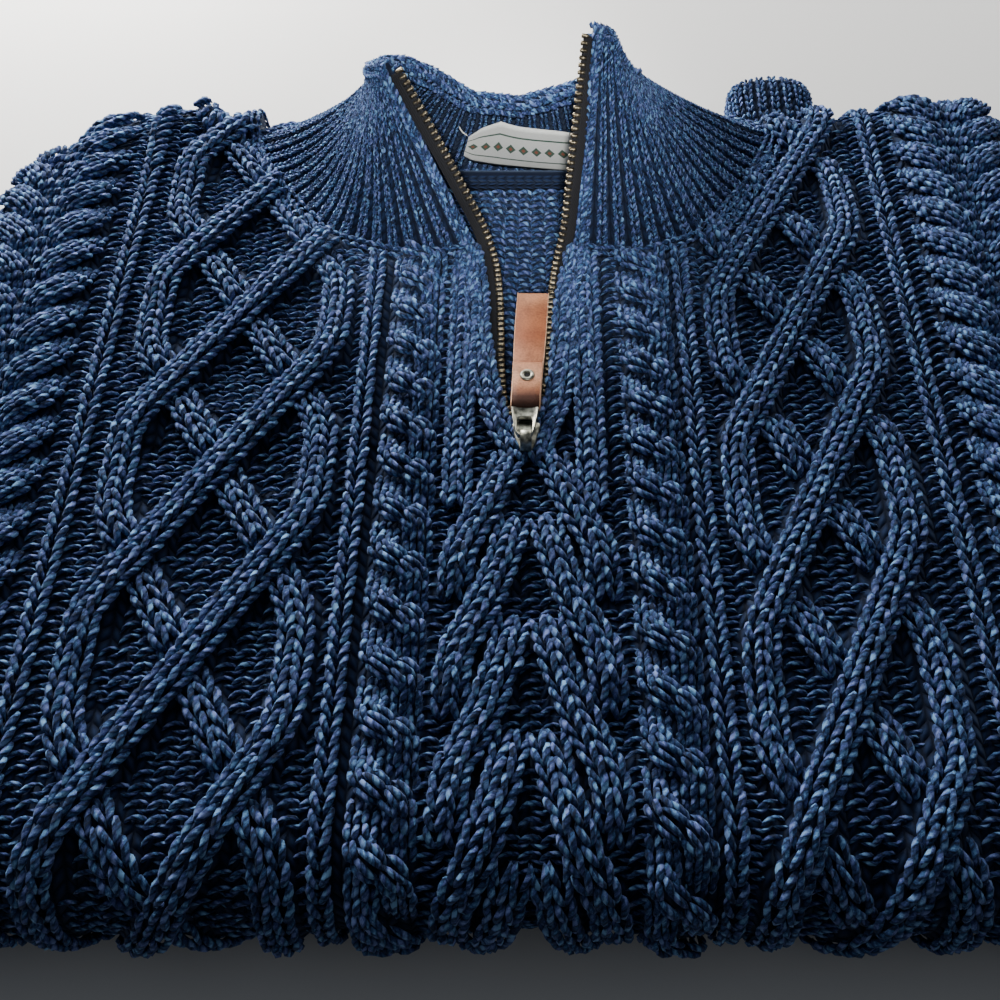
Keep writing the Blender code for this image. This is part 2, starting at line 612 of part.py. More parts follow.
def hidden_top(x, y):
    """Height of the hidden layers' upper side, under the front and the back."""
    under_front = cloth_height(x, y) - WALL - HIDDEN_TOP_GAP - 1.0
    under_back = back_height(x, y) - BACK_WALL - HIDDEN_TOP_GAP
    beside = blend(np.abs(x - BACK_CENTRE), BACK_HALF + 4.0, 22.0)
    before = blend(BACK_FRONT - 4.0 - y, 0.0, 22.0)
    free = np.maximum(beside, before)
    return under_back + (under_front - under_back) * free


def make_hidden(material):
    """The hidden layers as one rounded solid with a groove between its upper and lower half."""
    solid = Solid()
    rings = []
    for z, half, half_front, front, rear in HIDDEN_RINGS:
        x, y = ring_points(half, half_front, front, rear)
        above = np.clip(z - hidden_top(x, y), 0.0, None)
        y = y - above * HIDDEN_SLOPE
        rings.append(np.stack((x, y, np.minimum(z, hidden_top(x, y))), axis=-1))
    middle_x, middle_y = 0.0, 0.0
    edge_x, edge_y = rings[-1][:, 0], rings[-1][:, 1]
    for scale in HIDDEN_TOP_RINGS:
        x, y = edge_x * scale, edge_y * scale
        rings.append(np.stack((x, y, hidden_top(x, y)), axis=-1))
    numbers = [solid.add(ring) for ring in rings]
    for lower, upper in zip(numbers, numbers[1:]):
        solid.sheet(np.stack((np.append(lower, lower[0]), np.append(upper, upper[0]))))
    top = solid.add(np.array([[middle_x, middle_y, hidden_top(middle_x, middle_y)]]))[0]
    last = numbers[-1]
    for k in range(HIDDEN_POINTS):
        solid.faces.append((top, last[k], last[(k + 1) % HIDDEN_POINTS]))
    solid.faces.append(tuple(numbers[0][::-1]))
    return solid.build("folded_layers", material)


def make_cuff(material):
    """The end of a cuff: two ribbed layers that lie on each other, with the opening between."""
    solid = Solid()
    points = CUFF_RIBS * 2
    angle = np.linspace(0.0, 2 * math.pi, points, endpoint=False)
    rib = np.where(np.arange(points) % 2 == 0, CUFF_RIB_HEIGHT, 0.0)
    middle_z, half_z = (CUFF_LOW + CUFF_HIGH) / 2, (CUFF_HIGH - CUFF_LOW) / 2
    stations = (
        # share of the length, share of the size, height of the middle
        (0.0, 0.90, -1.5), (0.35, 0.97, -0.8), (0.7, 1.0, 0.0), (0.92, 0.96, 0.4), (1.0, 0.84, 0.5),
    )
    rings = []
    for along, size, lift in stations:
        y = np.full(points, CUFF_FRONT + along * (CUFF_REAR - CUFF_FRONT))
        x = CUFF_X + (CUFF_HALF * size + rib) * np.cos(angle)
        z = middle_z + lift + (half_z * size + rib) * np.sign(np.sin(angle)) * np.abs(np.sin(angle)) ** 0.8
        rings.append(np.stack((x, y, z), axis=-1))
    lip_x = CUFF_X + (CUFF_HALF * 0.84 - 4.0) * np.cos(angle)
    lip_z = middle_z + 0.5 + 1.8 * np.sin(angle)
    rings.append(np.stack((lip_x, np.full(points, CUFF_REAR - CUFF_NOTCH), lip_z), axis=-1))
    numbers = [solid.add(ring) for ring in rings]
    for lower, upper in zip(numbers, numbers[1:]):
        solid.sheet(np.stack((np.append(lower, lower[0]), np.append(upper, upper[0]))))
    solid.faces.append(tuple(numbers[0]))
    solid.faces.append(tuple(numbers[-1][::-1]))
    return solid.build("cuff", material)


def smooth_path(points, count):
    """Evenly spaced points on a smooth curve through the given ones."""
    points = np.asarray(points, float)
    spans = np.concatenate(([0.0], np.cumsum(np.linalg.norm(np.diff(points, axis=0), axis=1))))
    slopes = np.gradient(points, spans, axis=0)
    distance = np.linspace(0.0, spans[-1], count)
    index = np.clip(np.searchsorted(spans, distance, side="right") - 1, 0, len(spans) - 2)
    length = (spans[index + 1] - spans[index])[:, None]
    t = ((distance - spans[index]) / length[:, 0])[:, None]
    start, end = points[index], points[index + 1]
    rise, fall = slopes[index] * length, slopes[index + 1] * length
    return (
        start * (2 * t**3 - 3 * t**2 + 1)
        + end * (3 * t**2 - 2 * t**3)
        + rise * (t**3 - 2 * t**2 + t)
        + fall * (t**3 - t**2)
    )


def make_strip(name, path, near, far, low, high, material):
    """A flat strip along the zip, from near to far beside its path and from low to high over it."""
    line = smooth_path(path, ZIP_STATIONS)
    along = np.gradient(line, axis=0)
    along /= np.linalg.norm(along, axis=1)[:, None]
    lateral = np.array((1.0, 0.0, 0.0)) - along * along[:, :1]
    lateral /= np.linalg.norm(lateral, axis=1)[:, None]
    upward = np.cross(lateral, along)
    corners = [
        line + lateral * near + upward * low,
        line + lateral * far + upward * low,
        line + lateral * far + upward * high,
        line + lateral * near + upward * high,
    ]
    solid = Solid()
    numbers = solid.add(np.stack(corners, axis=1))
    solid.sheet(np.concatenate((numbers, numbers[:, :1]), axis=1))
    solid.faces.append(tuple(numbers[0]))
    solid.faces.append(tuple(numbers[-1][::-1]))
    return solid.build(name, material)


def make_zip(tape, brass):
    """The two rows of teeth with their tapes, on both sides of the slit and the collar's opening."""
    for side, path in ZIP_PATHS.items():
        away = -1 if side == "left" else 1
        teeth = (-TEETH_HALF, TEETH_HALF, TEETH_LOW, TEETH_HIGH)
        make_strip(f"zip_teeth_{side}", path, *teeth, brass)
        edges = sorted((away * TAPE_NEAR, away * TAPE_FAR))
        make_strip(f"zip_tape_{side}", path, *edges, TAPE_LOW, TAPE_HIGH, tape)


def box_mesh(name, centre, size):
    """A box of the given size about a centre."""
    bpy.ops.mesh.primitive_cube_add(size=1.0, location=[value * MM for value in centre])
    box = bpy.context.object
    box.name = name
    box.scale = [value * MM for value in size]
    bpy.ops.object.transform_apply(location=False, rotation=False, scale=True)
    return box


def adopt(piece, material, parent=None):
    """Moves an object that an operator made into the sweater's collection."""
    for collection in list(piece.users_collection):
        collection.objects.unlink(piece)
    bpy.data.collections[COLLECTION].objects.link(piece)
    piece.data.materials.clear()
    piece.data.materials.append(material)
    if parent:
        piece.parent = parent
    return piece


def make_slider(metal):
    """The slider: a body that narrows towards the closed end, and the bail round the link's bar."""
    middle = (SLIDER_LOW + SLIDER_HIGH) / 2
    size = (SLIDER_WIDE, SLIDER_LONG, SLIDER_HIGH - SLIDER_LOW)
    body = box_mesh("zip_slider", (SLIDER_X, SLIDER_Y, middle), size)
    for corner in body.data.vertices:
        if corner.co.y < 0:
            corner.co.x *= SLIDER_NOSE / SLIDER_WIDE
    soften = body.modifiers.new("soft_edges", "BEVEL")
    soften.width = 0.6 * MM
    soften.segments = 2
    long = BAIL_HOLE + 2 * BAIL_STRAP
    x, y, z = HINGE
    high = z + BAIL_HOLE / 2 + BAIL_STRAP
    bail = box_mesh("bail_shape", (x, y, (middle + high) / 2), (BAIL_WIDE, long, high - middle))
    hole = box_mesh("bail_hole", (x, y, z), (BAIL_WIDE + 2.0, BAIL_HOLE, BAIL_HOLE))
    for tool, operation in ((bail, "UNION"), (hole, "DIFFERENCE")):
        step = body.modifiers.new(tool.name, "BOOLEAN")
        step.operation = operation
        step.solver = "EXACT"
        step.object = tool
        tool.hide_render = True
        tool.display_type = "WIRE"
        for collection in list(tool.users_collection):
            collection.objects.unlink(tool)
        bpy.data.collections[CUTTERS].objects.link(tool)
    return adopt(body, metal)


def outline_plate(name, outline, hole, thick, material, parent):
    """A flat plate with a hole, cut from an outline in the XY plane."""
    curve = bpy.data.curves.new(name + "_outline", "CURVE")
    curve.dimensions = "2D"
    curve.fill_mode = "BOTH"
    curve.extrude = thick * MM / 2
    for loop in (outline, hole):
        if loop is None:
            continue
        spline = curve.splines.new("POLY")
        spline.points.add(len(loop) - 1)
        for point, (x, y) in zip(spline.points, loop):
            point.co = (x * MM, y * MM, 0.0, 1.0)
        spline.use_cyclic_u = True
    piece = bpy.data.objects.new(name, curve)
    bpy.data.collections[COLLECTION].objects.link(piece)
    curve.materials.append(material)
    piece.parent = parent
    return piece


def rounded_outline(half_near, half_far, near, far, radius, steps=4):
    """Corner points of a rounded four-sided outline, near end first."""
    corners = ((half_near, near, -90), (half_far, far, 0), (-half_far, far, 90), (-half_near, near, 180))
    points = []
    for x, y, start in corners:
        centre_x = x - math.copysign(radius, x)
        centre_y = y + radius if y == near else y - radius
        for k in range(steps + 1):
            angle = math.radians(start + 90 * k / steps)
            points.append((centre_x + radius * math.cos(angle), centre_y + radius * math.sin(angle)))
    return points


def make_pull(metal, leather):
    """The pull: a metal link, the folded leather tab and its rivet, on an empty at the hinge."""
    hinge = bpy.data.objects.new("pull_hinge", None)
    bpy.data.collections[COLLECTION].objects.link(hinge)
    hinge.location = [value * MM for value in HINGE]
    hinge.rotation_euler = (PULL_TILT, 0.0, PULL_TURN)
    outline = rounded_outline(LINK_WIDE / 2 - 1.2, LINK_WIDE / 2, -LINK_NOSE, LINK_END, 0.9)
    hole = rounded_outline(LINK_HOLE_WIDE / 2, LINK_HOLE_WIDE / 2, *LINK_HOLE, 0.9)
    outline_plate("pull_link", outline, hole, LINK_THICK, metal, hinge)
    half = LEATHER_WIDE / 2
    tab = rounded_outline(half, half, *LEATHER_ENDS, 0.8, 3)
    outline_plate("pull_leather", tab, None, LEATHER_THICK, leather, hinge)
    bpy.ops.mesh.primitive_cylinder_add(
        vertices=24,
        radius=RIVET_RADIUS * MM,
        depth=RIVET_HIGH * MM,
        location=(0.0, RIVET_Y * MM, (LEATHER_THICK / 2 + GAP + RIVET_HIGH / 2) * MM),
    )
    rivet = bpy.context.object
    rivet.name = "pull_rivet"
    adopt(rivet, metal, hinge)


def make_label(material):
    """The woven label, bent to the inner side of the collar's back."""
    solid = Solid()
    heights = np.linspace(*LABEL_HEIGHTS, 5)
    shares = np.linspace(*LABEL_SHARES, 9)
    far = COLLAR_WALL + 2 * GAP
    sides = []
    for depth in (far, far + LABEL_THICK):
        lines = [collar_section(share, 0.0, depth, heights) for share in shares]
        sides.append(solid.add(np.stack(lines, axis=1)))
    behind, face = sides
    solid.sheet(behind)
    solid.sheet(face, flip=True)
    for first, second in (
        (behind[0], face[0]),
        (behind[-1], face[-1]),
        (behind[:, 0], face[:, 0]),
        (behind[:, -1], face[:, -1]),
    ):
        solid.sheet(np.stack((first, second)))
    return solid.build("neck_label", material)


def main():
    """Clears the file's objects and models the sweater."""
    for old in list(bpy.data.objects):
        bpy.data.objects.remove(old, do_unlink=True)
    for name in (COLLECTION, CUTTERS):
        bpy.context.scene.collection.children.link(bpy.data.collections.new(name))
    wool = finish("navy_wool", (0.020, 0.040, 0.100), 0.9)
    tape = finish("black_tape", (0.010, 0.010, 0.012), 0.85)
    brass = finish("antique_brass", (0.34, 0.26, 0.15), 0.4, 1.0)
    leather = finish("tan_leather", (0.52, 0.22, 0.09), 0.55)
    woven = finish("woven_label", (0.72, 0.71, 0.66), 0.8)
    make_front(wool)
    make_collar(wool)
    make_back(wool)
    make_hidden(wool)
    make_cuff(wool)
    make_zip(tape, brass)
    make_slider(brass)
    make_pull(brass, leather)
    make_label(woven)
    for piece in bpy.data.objects:
        if piece.parent is None:
            piece.location.x -= CENTRE[0] * MM
            piece.location.y -= CENTRE[1] * MM


main()
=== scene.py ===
"""Half-zip sweater in cable knit, folded and lying face up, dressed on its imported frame.

Sizes are in millimetres unless a name says otherwise, and MM turns them into Blender's metres.
On the front panel u runs across from the centre line, v runs from the waist to the shoulders,
and out is the height above the ground of the knit.
"""

import logging
import math
from dataclasses import dataclass
from enum import Enum
from typing import Iterable, Sequence

import bmesh
import bpy
import numpy as np
from mathutils import Matrix, Vector


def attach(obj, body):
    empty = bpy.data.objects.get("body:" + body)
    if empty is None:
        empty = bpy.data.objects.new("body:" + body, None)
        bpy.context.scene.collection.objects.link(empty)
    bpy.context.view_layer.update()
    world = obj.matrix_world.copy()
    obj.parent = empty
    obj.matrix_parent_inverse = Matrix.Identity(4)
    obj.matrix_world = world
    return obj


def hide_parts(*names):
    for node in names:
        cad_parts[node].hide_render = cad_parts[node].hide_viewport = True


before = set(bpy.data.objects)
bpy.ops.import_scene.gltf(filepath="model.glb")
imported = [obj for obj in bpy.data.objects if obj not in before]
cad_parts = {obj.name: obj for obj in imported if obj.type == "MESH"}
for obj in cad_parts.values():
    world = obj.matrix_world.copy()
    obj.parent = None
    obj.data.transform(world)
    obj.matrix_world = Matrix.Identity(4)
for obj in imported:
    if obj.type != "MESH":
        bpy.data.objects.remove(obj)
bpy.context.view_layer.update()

MM = 0.001
CENTRE = np.array((0.28, 17.13, 0.0))  # from the drape's own origin to the middle of the footprint
Array = np.ndarray
Socket = bpy.types.NodeSocket
Piece = bpy.types.Object
Triple = tuple[float, float, float]
Pairs = tuple[tuple[float, float], ...]
log = logging.getLogger("sweater")


class Body(str, Enum):
    """The rigid bodies that pieces ride on."""

    GARMENT = "garment"
    PULL = "pull"


class Slot(str, Enum):
    """The record's material slots."""

    WOOL = "navy_wool"
    TAPE = "black_tape"
    BRASS = "antique_brass"
    LEATHER = "tan_leather"
    LABEL = "woven_label"


def blend(value: Array | float, start: float, run: float) -> Array:
    """Smooth step.

    Args:
        value: what is measured.
        start: the value where the step starts.
        run: how far it takes.

    Returns:
        0 before start, 1 after start + run, and smooth between.
    """
    t = np.clip((np.asarray(value, float) - start) / run, 0.0, 1.0)
    return t * t * (3.0 - 2.0 * t)


def unit(vectors: Array) -> Array:
    """The vectors along the last axis, at length 1."""
    return vectors / np.maximum(np.linalg.norm(vectors, axis=-1, keepdims=True), 1e-9)


def together(*parts: Array) -> Array:
    """The parts side by side on a new last axis."""
    return np.stack(parts, axis=-1)


def dome(distance: Array) -> Array:
    """Height of a round back, 1 at its middle and 0 from a distance of 1 on."""
    return np.sqrt(np.clip(1 - distance**2, 0.0, 1.0))


# ---- Finishes ----


class Graph:
    """A material's node tree, built node by node."""

    def __init__(self, name: str) -> None:
        """Starts a material with its Principled shader.

        Args:
            name: the material's name.
        """
        self.material = bpy.data.materials.new(name)
        self.material.use_nodes = True
        self.tree = self.material.node_tree
        self.shader = self.tree.nodes["Principled BSDF"]

    def add(self, kind: str, inputs: dict | None = None, **settings: object) -> bpy.types.Node:
        """Adds a node.

        Args:
            kind: the node's Blender type.
            inputs: values or output sockets for its inputs, by name or number.
            settings: the node's own properties.

        Returns:
            The node.
        """
        node = self.tree.nodes.new(kind)
        for key, value in settings.items():
            setattr(node, key, value)
        for key, value in (inputs or {}).items():
            if isinstance(value, Socket):
                self.tree.links.new(value, node.inputs[key])
            else:
                node.inputs[key].default_value = value
        return node

    def math(self, operation: str, *values: object) -> Socket:
        """A Math node's result for numbers or sockets, by the operation's Blender name."""
        return self.add("ShaderNodeMath", dict(enumerate(values)), operation=operation).outputs[0]

    def mix(self, share: object, first: object, second: object, kind: str = "MIX") -> Socket:
        """Two colours mixed."""
        inputs = {"Factor": share, 6: first, 7: second}
        return self.add("ShaderNodeMix", inputs, data_type="RGBA", blend_type=kind).outputs[2]

    def vector(self, x: object, y: object, z: object = 0.0) -> Socket:
        """A vector put together from three numbers or sockets."""
        return self.add("ShaderNodeCombineXYZ", {0: x, 1: y, 2: z}).outputs[0]

    def noise(self, at: Socket, scale: float, detail: float = 2.0) -> Socket:
        """A noise texture's grey value at a place, by its frequency and octaves."""
        inputs = {"Vector": at, "Scale": scale, "Detail": detail}
        return self.add("ShaderNodeTexNoise", inputs).outputs["Fac"]

    def ramp(self, value: object, stops: Sequence) -> Socket:
        """A colour ramp.

        Args:
            value: the socket it reads.
            stops: position and colour of each stop.

        Returns:
            The colour's socket.
        """
        node = self.add("ShaderNodeValToRGB", {0: value})
        elements = node.color_ramp.elements
        while len(elements) < len(stops):
            elements.new(0.5)
        for element, (position, colour) in zip(elements, stops):
            element.position = position
            element.color = (*colour, 1.0)
        return node.outputs["Color"]

    def uv(self) -> tuple[Socket, Socket]:
        """The two coordinates of the piece's UV map."""
        split = self.add("ShaderNodeSeparateXYZ", {0: self.add("ShaderNodeUVMap").outputs["UV"]})
        return split.outputs["X"], split.outputs["Y"]

    def place(self) -> Socket:
        """The point's place in the object's own frame."""
        return self.add("ShaderNodeTexCoord").outputs["Object"]

    def bump(self, height: Socket, depth: float, strength: float) -> None:
        """Bumps the surface by a grey value, of which 1 stands for a depth in millimetres."""
        node = self.add("ShaderNodeBump", {"Height": height, "Distance": depth * MM, "Strength": strength})
        self.tree.links.new(node.outputs["Normal"], self.shader.inputs["Normal"])

    def set(self, **values: object) -> None:
        """Sets or links the shader's sockets, with _ for a space in their names.

        Args:
            values: a number, colour or socket for each name.
        """
        for key, value in values.items():
            socket = self.shader.inputs[key.replace("_", " ")]
            if isinstance(value, Socket):
                self.tree.links.new(value, socket)
            else:
                socket.default_value = value


@dataclass(frozen=True)
class MarledYarn:
    """Wool yarn of two twisted plies, one paler than the other, with fibres of several blues."""

    shade: Triple = (0.0045, 0.0090, 0.0270)
    navy: Triple = (0.0160, 0.0350, 0.1000)
    blue: Triple = (0.0430, 0.1100, 0.2600)
    pale: Triple = (0.1750, 0.3450, 0.5600)
    violet: Triple = (0.0500, 0.0700, 0.2200)
    pale_violet: Triple = (0.1700, 0.2250, 0.4700)
    turn: float = 4.6  # length of yarn for one turn of the plies

    def material(self) -> bpy.types.Material:
        """The material, for meshes whose UV map runs along and around the yarn."""
        graph = Graph("marled_yarn")
        along, around = graph.uv()
        turned = graph.math("ADD", around, graph.math("DIVIDE", along, self.turn))
        ply = graph.math("MULTIPLY", turned, 2.0)
        number = graph.math("FLOOR", ply)
        groove = graph.math("ABSOLUTE", graph.math("SINE", graph.math("MULTIPLY", ply, math.pi)))
        light_ply = graph.math("MODULO", number, 2.0)
        patch = graph.noise(graph.vector(graph.math("MULTIPLY", along, 0.13), number, 0.0), 1.3, 1.0)
        finely_along, finely_around = graph.math("MULTIPLY", along, 0.8), graph.math("MULTIPLY", turned, 13.0)
        fibre = graph.noise(graph.vector(finely_along, finely_around, number), 1.4, 3.0)
        tone = graph.math("ADD", graph.math("MULTIPLY", patch, 0.62), graph.math("MULTIPLY", fibre, 0.38))
        tone = graph.math("ADD", tone, graph.math("MULTIPLY", graph.math("SUBTRACT", light_ply, 0.5), 0.14))
        fleck = graph.noise(graph.place(), 1500.0, 2.0)
        tone = graph.math("ADD", tone, graph.math("MULTIPLY", graph.math("SUBTRACT", fleck, 0.5), 0.34))
        # painted shade: the tone is darkened to 0.72 of itself in the grooves between the plies
        lit = graph.math("MULTIPLY", tone, graph.math("ADD", 0.72, graph.math("MULTIPLY", groove, 0.34)))
        clear = graph.ramp(lit, ((0.29, self.shade), (0.40, self.navy), (0.51, self.blue), (0.64, self.pale)))
        dusky = graph.ramp(
            lit, ((0.29, self.shade), (0.40, self.navy), (0.51, self.violet), (0.66, self.pale_violet))
        )
        hue = graph.noise(graph.vector(graph.math("MULTIPLY", along, 0.07), 3.0, number), 1.6, 1.0)
        share = graph.ramp(hue, ((0.42, (0.0, 0.0, 0.0)), (0.58, (1.0, 1.0, 1.0))))
        graph.set(Base_Color=graph.mix(share, clear, dusky), Roughness=0.85)
        graph.set(Sheen_Weight=0.18, Sheen_Roughness=0.5, Specular_IOR_Level=0.2)
        graph.shader.inputs["Sheen Tint"].default_value = (0.45, 0.60, 0.95, 1.0)
        height = graph.math("ADD", graph.math("MULTIPLY", groove, 0.55), graph.math("MULTIPLY", fibre, 0.45))
        graph.bump(height, 0.40, 0.9)
        return graph.material


@dataclass(frozen=True)
class KnitGround:
    """The cloth behind the single stitches, with stitches of its own drawn in its bump. Its colours are
    darker than the yarn's, painted shade between the stitches, and its drawn stitches carry painted shade
    where they dip.
    """

    # darker than the yarn's colours: painted shade between the stitches
    shade: Triple = (0.0030, 0.0060, 0.0180)
    navy: Triple = (0.0120, 0.0250, 0.0700)
    wale: float = 5.7
    row: float = 4.1

    def material(self) -> bpy.types.Material:
        """The material, for meshes whose UV map is in millimetres of cloth."""
        graph = Graph("knit_ground")
        across, along = graph.uv()
        column = graph.math("FRACT", graph.math("DIVIDE", across, self.wale))
        side = graph.math("ABSOLUTE", graph.math("SUBTRACT", column, 0.5))
        slant = graph.math("MULTIPLY", side, 1.3)
        stitch = graph.math("SUBTRACT", graph.math("DIVIDE", along, self.row), slant)
        strand = graph.math("ABSOLUTE", graph.math("SINE", graph.math("MULTIPLY", stitch, math.pi)))
        leg = graph.math("SINE", graph.math("MULTIPLY", graph.math("MULTIPLY", side, 2.0), math.pi))
        height = graph.math("MULTIPLY", strand, leg)
        fibre = graph.noise(graph.vector(across, along), 1.3, 3.0)
        # painted shade: the colour follows the drawn stitches' height, darker where they dip
        tone = graph.math("ADD", graph.math("MULTIPLY", height, 0.6), graph.math("MULTIPLY", fibre, 0.4))
        graph.set(Base_Color=graph.ramp(tone, ((0.25, self.shade), (0.75, self.navy))), Roughness=0.9)
        graph.set(Sheen_Weight=0.15, Sheen_Roughness=0.5, Specular_IOR_Level=0.2)
        graph.shader.inputs["Sheen Tint"].default_value = (0.4, 0.55, 0.9, 1.0)
        graph.bump(height, 1.2, 0.9)
        return graph.material


@dataclass(frozen=True)
class AntiqueBrass:
    """Dull dark brass, brighter in worn patches."""

    dark: Triple = (0.075, 0.062, 0.042)
    worn: Triple = (0.430, 0.360, 0.240)

    def material(self) -> bpy.types.Material:
        """The material."""
        graph = Graph("antique_brass")
        place = graph.place()
        patches = graph.noise(place, 900.0, 3.0)
        graph.set(Base_Color=graph.ramp(patches, ((0.35, self.dark), (0.68, self.worn))))
        graph.set(Metallic=1.0)
        graph.set(Roughness=graph.math("ADD", 0.28, graph.math("MULTIPLY", patches, 0.3)))
        graph.bump(graph.noise(place, 2600.0, 2.0), 0.03, 0.6)
        return graph.material


@dataclass(frozen=True)
class BareMetal:
    """Brushed grey metal with a warm tint, for the slider and its link."""

    dark: Triple = (0.110, 0.108, 0.085)
    bright: Triple = (0.480, 0.470, 0.380)

    def material(self) -> bpy.types.Material:
        """The material."""
        graph = Graph("bare_metal")
        place = graph.place()
        patches = graph.noise(place, 600.0, 4.0)
        graph.set(Base_Color=graph.ramp(patches, ((0.32, self.dark), (0.62, self.bright))))
        graph.set(Metallic=1.0)
        graph.set(Roughness=graph.math("ADD", 0.25, graph.math("MULTIPLY", patches, 0.3)))
        graph.bump(graph.noise(place, 3200.0, 2.0), 0.02, 0.5)
        return graph.material


@dataclass(frozen=True)
class TanLeather:
    """Tan leather with fine pores, coloured along its length, or its cut edge; along the strap the colour
    holds a painted highlight on the flap and painted shade in the fold.
    """

    name: str
    stops: tuple[tuple[float, Triple], ...]  # share of its length, and colour
    grain: float = 1500.0

    def material(self) -> bpy.types.Material:
        """The material, for meshes whose UV map's second coordinate runs from 0 to 1 along the strap."""
        graph = Graph(self.name)
        place = graph.place()
        broad = graph.noise(place, 160.0, 3.0)
        fine = graph.noise(place, self.grain, 3.0)
        tone = graph.math("ADD", graph.math("MULTIPLY", broad, 0.5), graph.math("MULTIPLY", fine, 0.5))
        shade = graph.ramp(tone, ((0.34, (0.60, 0.52, 0.48)), (0.62, (1.08, 1.06, 1.04))))
        # the colour along the length times the grain's mottle; on the strap it holds a painted highlight on
        # the flap and painted shade in the fold and under the flap, besides the leather's tan
        worn = graph.mix(1.0, graph.ramp(graph.uv()[1], self.stops), shade, "MULTIPLY")
        graph.set(Base_Color=worn, Specular_IOR_Level=0.3)
        graph.set(Roughness=graph.math("ADD", 0.48, graph.math("MULTIPLY", fine, 0.2)))
        pores = graph.add("ShaderNodeTexVoronoi", {"Vector": place, "Scale": 2400.0}).outputs["Distance"]
        graph.bump(graph.math("ADD", pores, graph.math("MULTIPLY", fine, 0.5)), 0.06, 0.5)
        return graph.material


STRAP_STOPS = (
    # from the flap's end over the fold to the top of the long layer; the pale stops round the eyelet and
    # below it on the flap are a painted highlight, and the dark stops in the fold and where the long layer
    # runs under the flap are painted shade
    (0.00, (0.58, 0.245, 0.120)), (0.08, (0.76, 0.400, 0.240)), (0.135, (0.68, 0.310, 0.160)),
    (0.172, (0.33, 0.115, 0.046)), (0.208, (0.09, 0.027, 0.011)), (0.27, (0.03, 0.010, 0.005)),
    (0.46, (0.50, 0.185, 0.085)), (0.56, (0.60, 0.250, 0.125)), (0.70, (0.40, 0.118, 0.042)),
    (0.88, (0.48, 0.165, 0.064)), (1.00, (0.66, 0.300, 0.150)),
)
CUT_STOPS = ((0.0, (0.78, 0.470, 0.290)), (1.0, (0.86, 0.560, 0.370)))


@dataclass(frozen=True)
class WovenTape:
    """Black zip tape in a fine twill."""

    black: Triple = (0.002, 0.002, 0.003)
    grey: Triple = (0.008, 0.008, 0.011)

    def material(self) -> bpy.types.Material:
        """The material."""
        graph = Graph("woven_tape")
        at = graph.add("ShaderNodeSeparateXYZ", {0: graph.place()})
        across = graph.math("MULTIPLY", at.outputs["X"], 2600.0)
        along = graph.math("MULTIPLY", at.outputs["Y"], 2600.0)
        wave = graph.math("SINE", graph.math("MULTIPLY", graph.math("ADD", across, along), math.pi))
        level = graph.math("ADD", graph.math("MULTIPLY", wave, 0.5), 0.5)
        graph.set(Base_Color=graph.ramp(level, ((0.2, self.black), (0.8, self.grey))), Roughness=0.85)
        graph.bump(level, 0.08, 0.8)
        return graph.material


@dataclass(frozen=True)
class WovenLabel:
    """Off-white satin weave with a plain border and a row of small coloured lozenges."""

    ground: Triple = (0.74, 0.75, 0.70)
    thread: Triple = (0.86, 0.87, 0.83)
    green: Triple = (0.045, 0.110, 0.070)
    rust: Triple = (0.300, 0.085, 0.040)
    lozenges: float = 9.0

    def material(self) -> bpy.types.Material:
        """The material, for a mesh whose UV map runs from 0 to 1 both ways."""
        graph = Graph("woven_label")
        across, up = graph.uv()
        weave = graph.noise(
            graph.vector(graph.math("MULTIPLY", across, 30.0), graph.math("MULTIPLY", up, 180.0)), 1.0, 2.0
        )
        cloth = graph.ramp(weave, ((0.35, self.ground), (0.65, self.thread)))
        cell = graph.math("FRACT", graph.math("MULTIPLY", across, self.lozenges))
        aside = graph.math("ABSOLUTE", graph.math("SUBTRACT", cell, 0.5))
        above = graph.math("ABSOLUTE", graph.math("SUBTRACT", up, 0.52))
        inside = graph.math("ADD", aside, graph.math("MULTIPLY", above, 3.6))
        lozenge = graph.math("LESS_THAN", inside, 0.40)
        heart = graph.math("LESS_THAN", inside, 0.17)
        coloured = graph.mix(heart, (*self.green, 1.0), (*self.rust, 1.0))
        band = graph.math("LESS_THAN", graph.math("ABSOLUTE", graph.math("SUBTRACT", above, 0.27)), 0.016)
        shown = graph.math("MAXIMUM", lozenge, band)
        graph.set(Base_Color=graph.mix(shown, cloth, coloured), Roughness=0.7, Sheen_Weight=0.1)
        graph.bump(weave, 0.1, 0.6)
        return graph.material


@dataclass(frozen=True)
class PlainFloor:
    """A plain pale floor."""

    colour: Triple = (0.72, 0.71, 0.69)

    def material(self) -> bpy.types.Material:
        """The material."""
        graph = Graph("plain_floor")
        graph.set(Base_Color=(*self.colour, 1.0), Roughness=0.85)
        return graph.material


@dataclass(frozen=True)
class Finish:
    """A material, and the record's slot that it stands for."""

    material: bpy.types.Material
    slot: Slot


class Finishes:
    """One material of each finish, shared by the pieces."""

    def __init__(self) -> None:
        """Builds the materials."""
        self.yarn = Finish(MarledYarn().material(), Slot.WOOL)
        self.ground = Finish(KnitGround().material(), Slot.WOOL)
        self.brass = Finish(AntiqueBrass().material(), Slot.BRASS)
        self.metal = Finish(BareMetal().material(), Slot.BRASS)
        self.tape = Finish(WovenTape().material(), Slot.TAPE)
        # painted shade inside the eyelet: a dark disc in the black tape's material
        self.hollow = Finish(self.tape.material, Slot.BRASS)
        self.leather = Finish(TanLeather("tan_leather", STRAP_STOPS).material(), Slot.LEATHER)
        self.cut_edge = Finish(TanLeather("leather_edge", CUT_STOPS).material(), Slot.LEATHER)
        self.label = Finish(WovenLabel().material(), Slot.LABEL)
        self.floor = PlainFloor().material()


# ---- Meshes ----


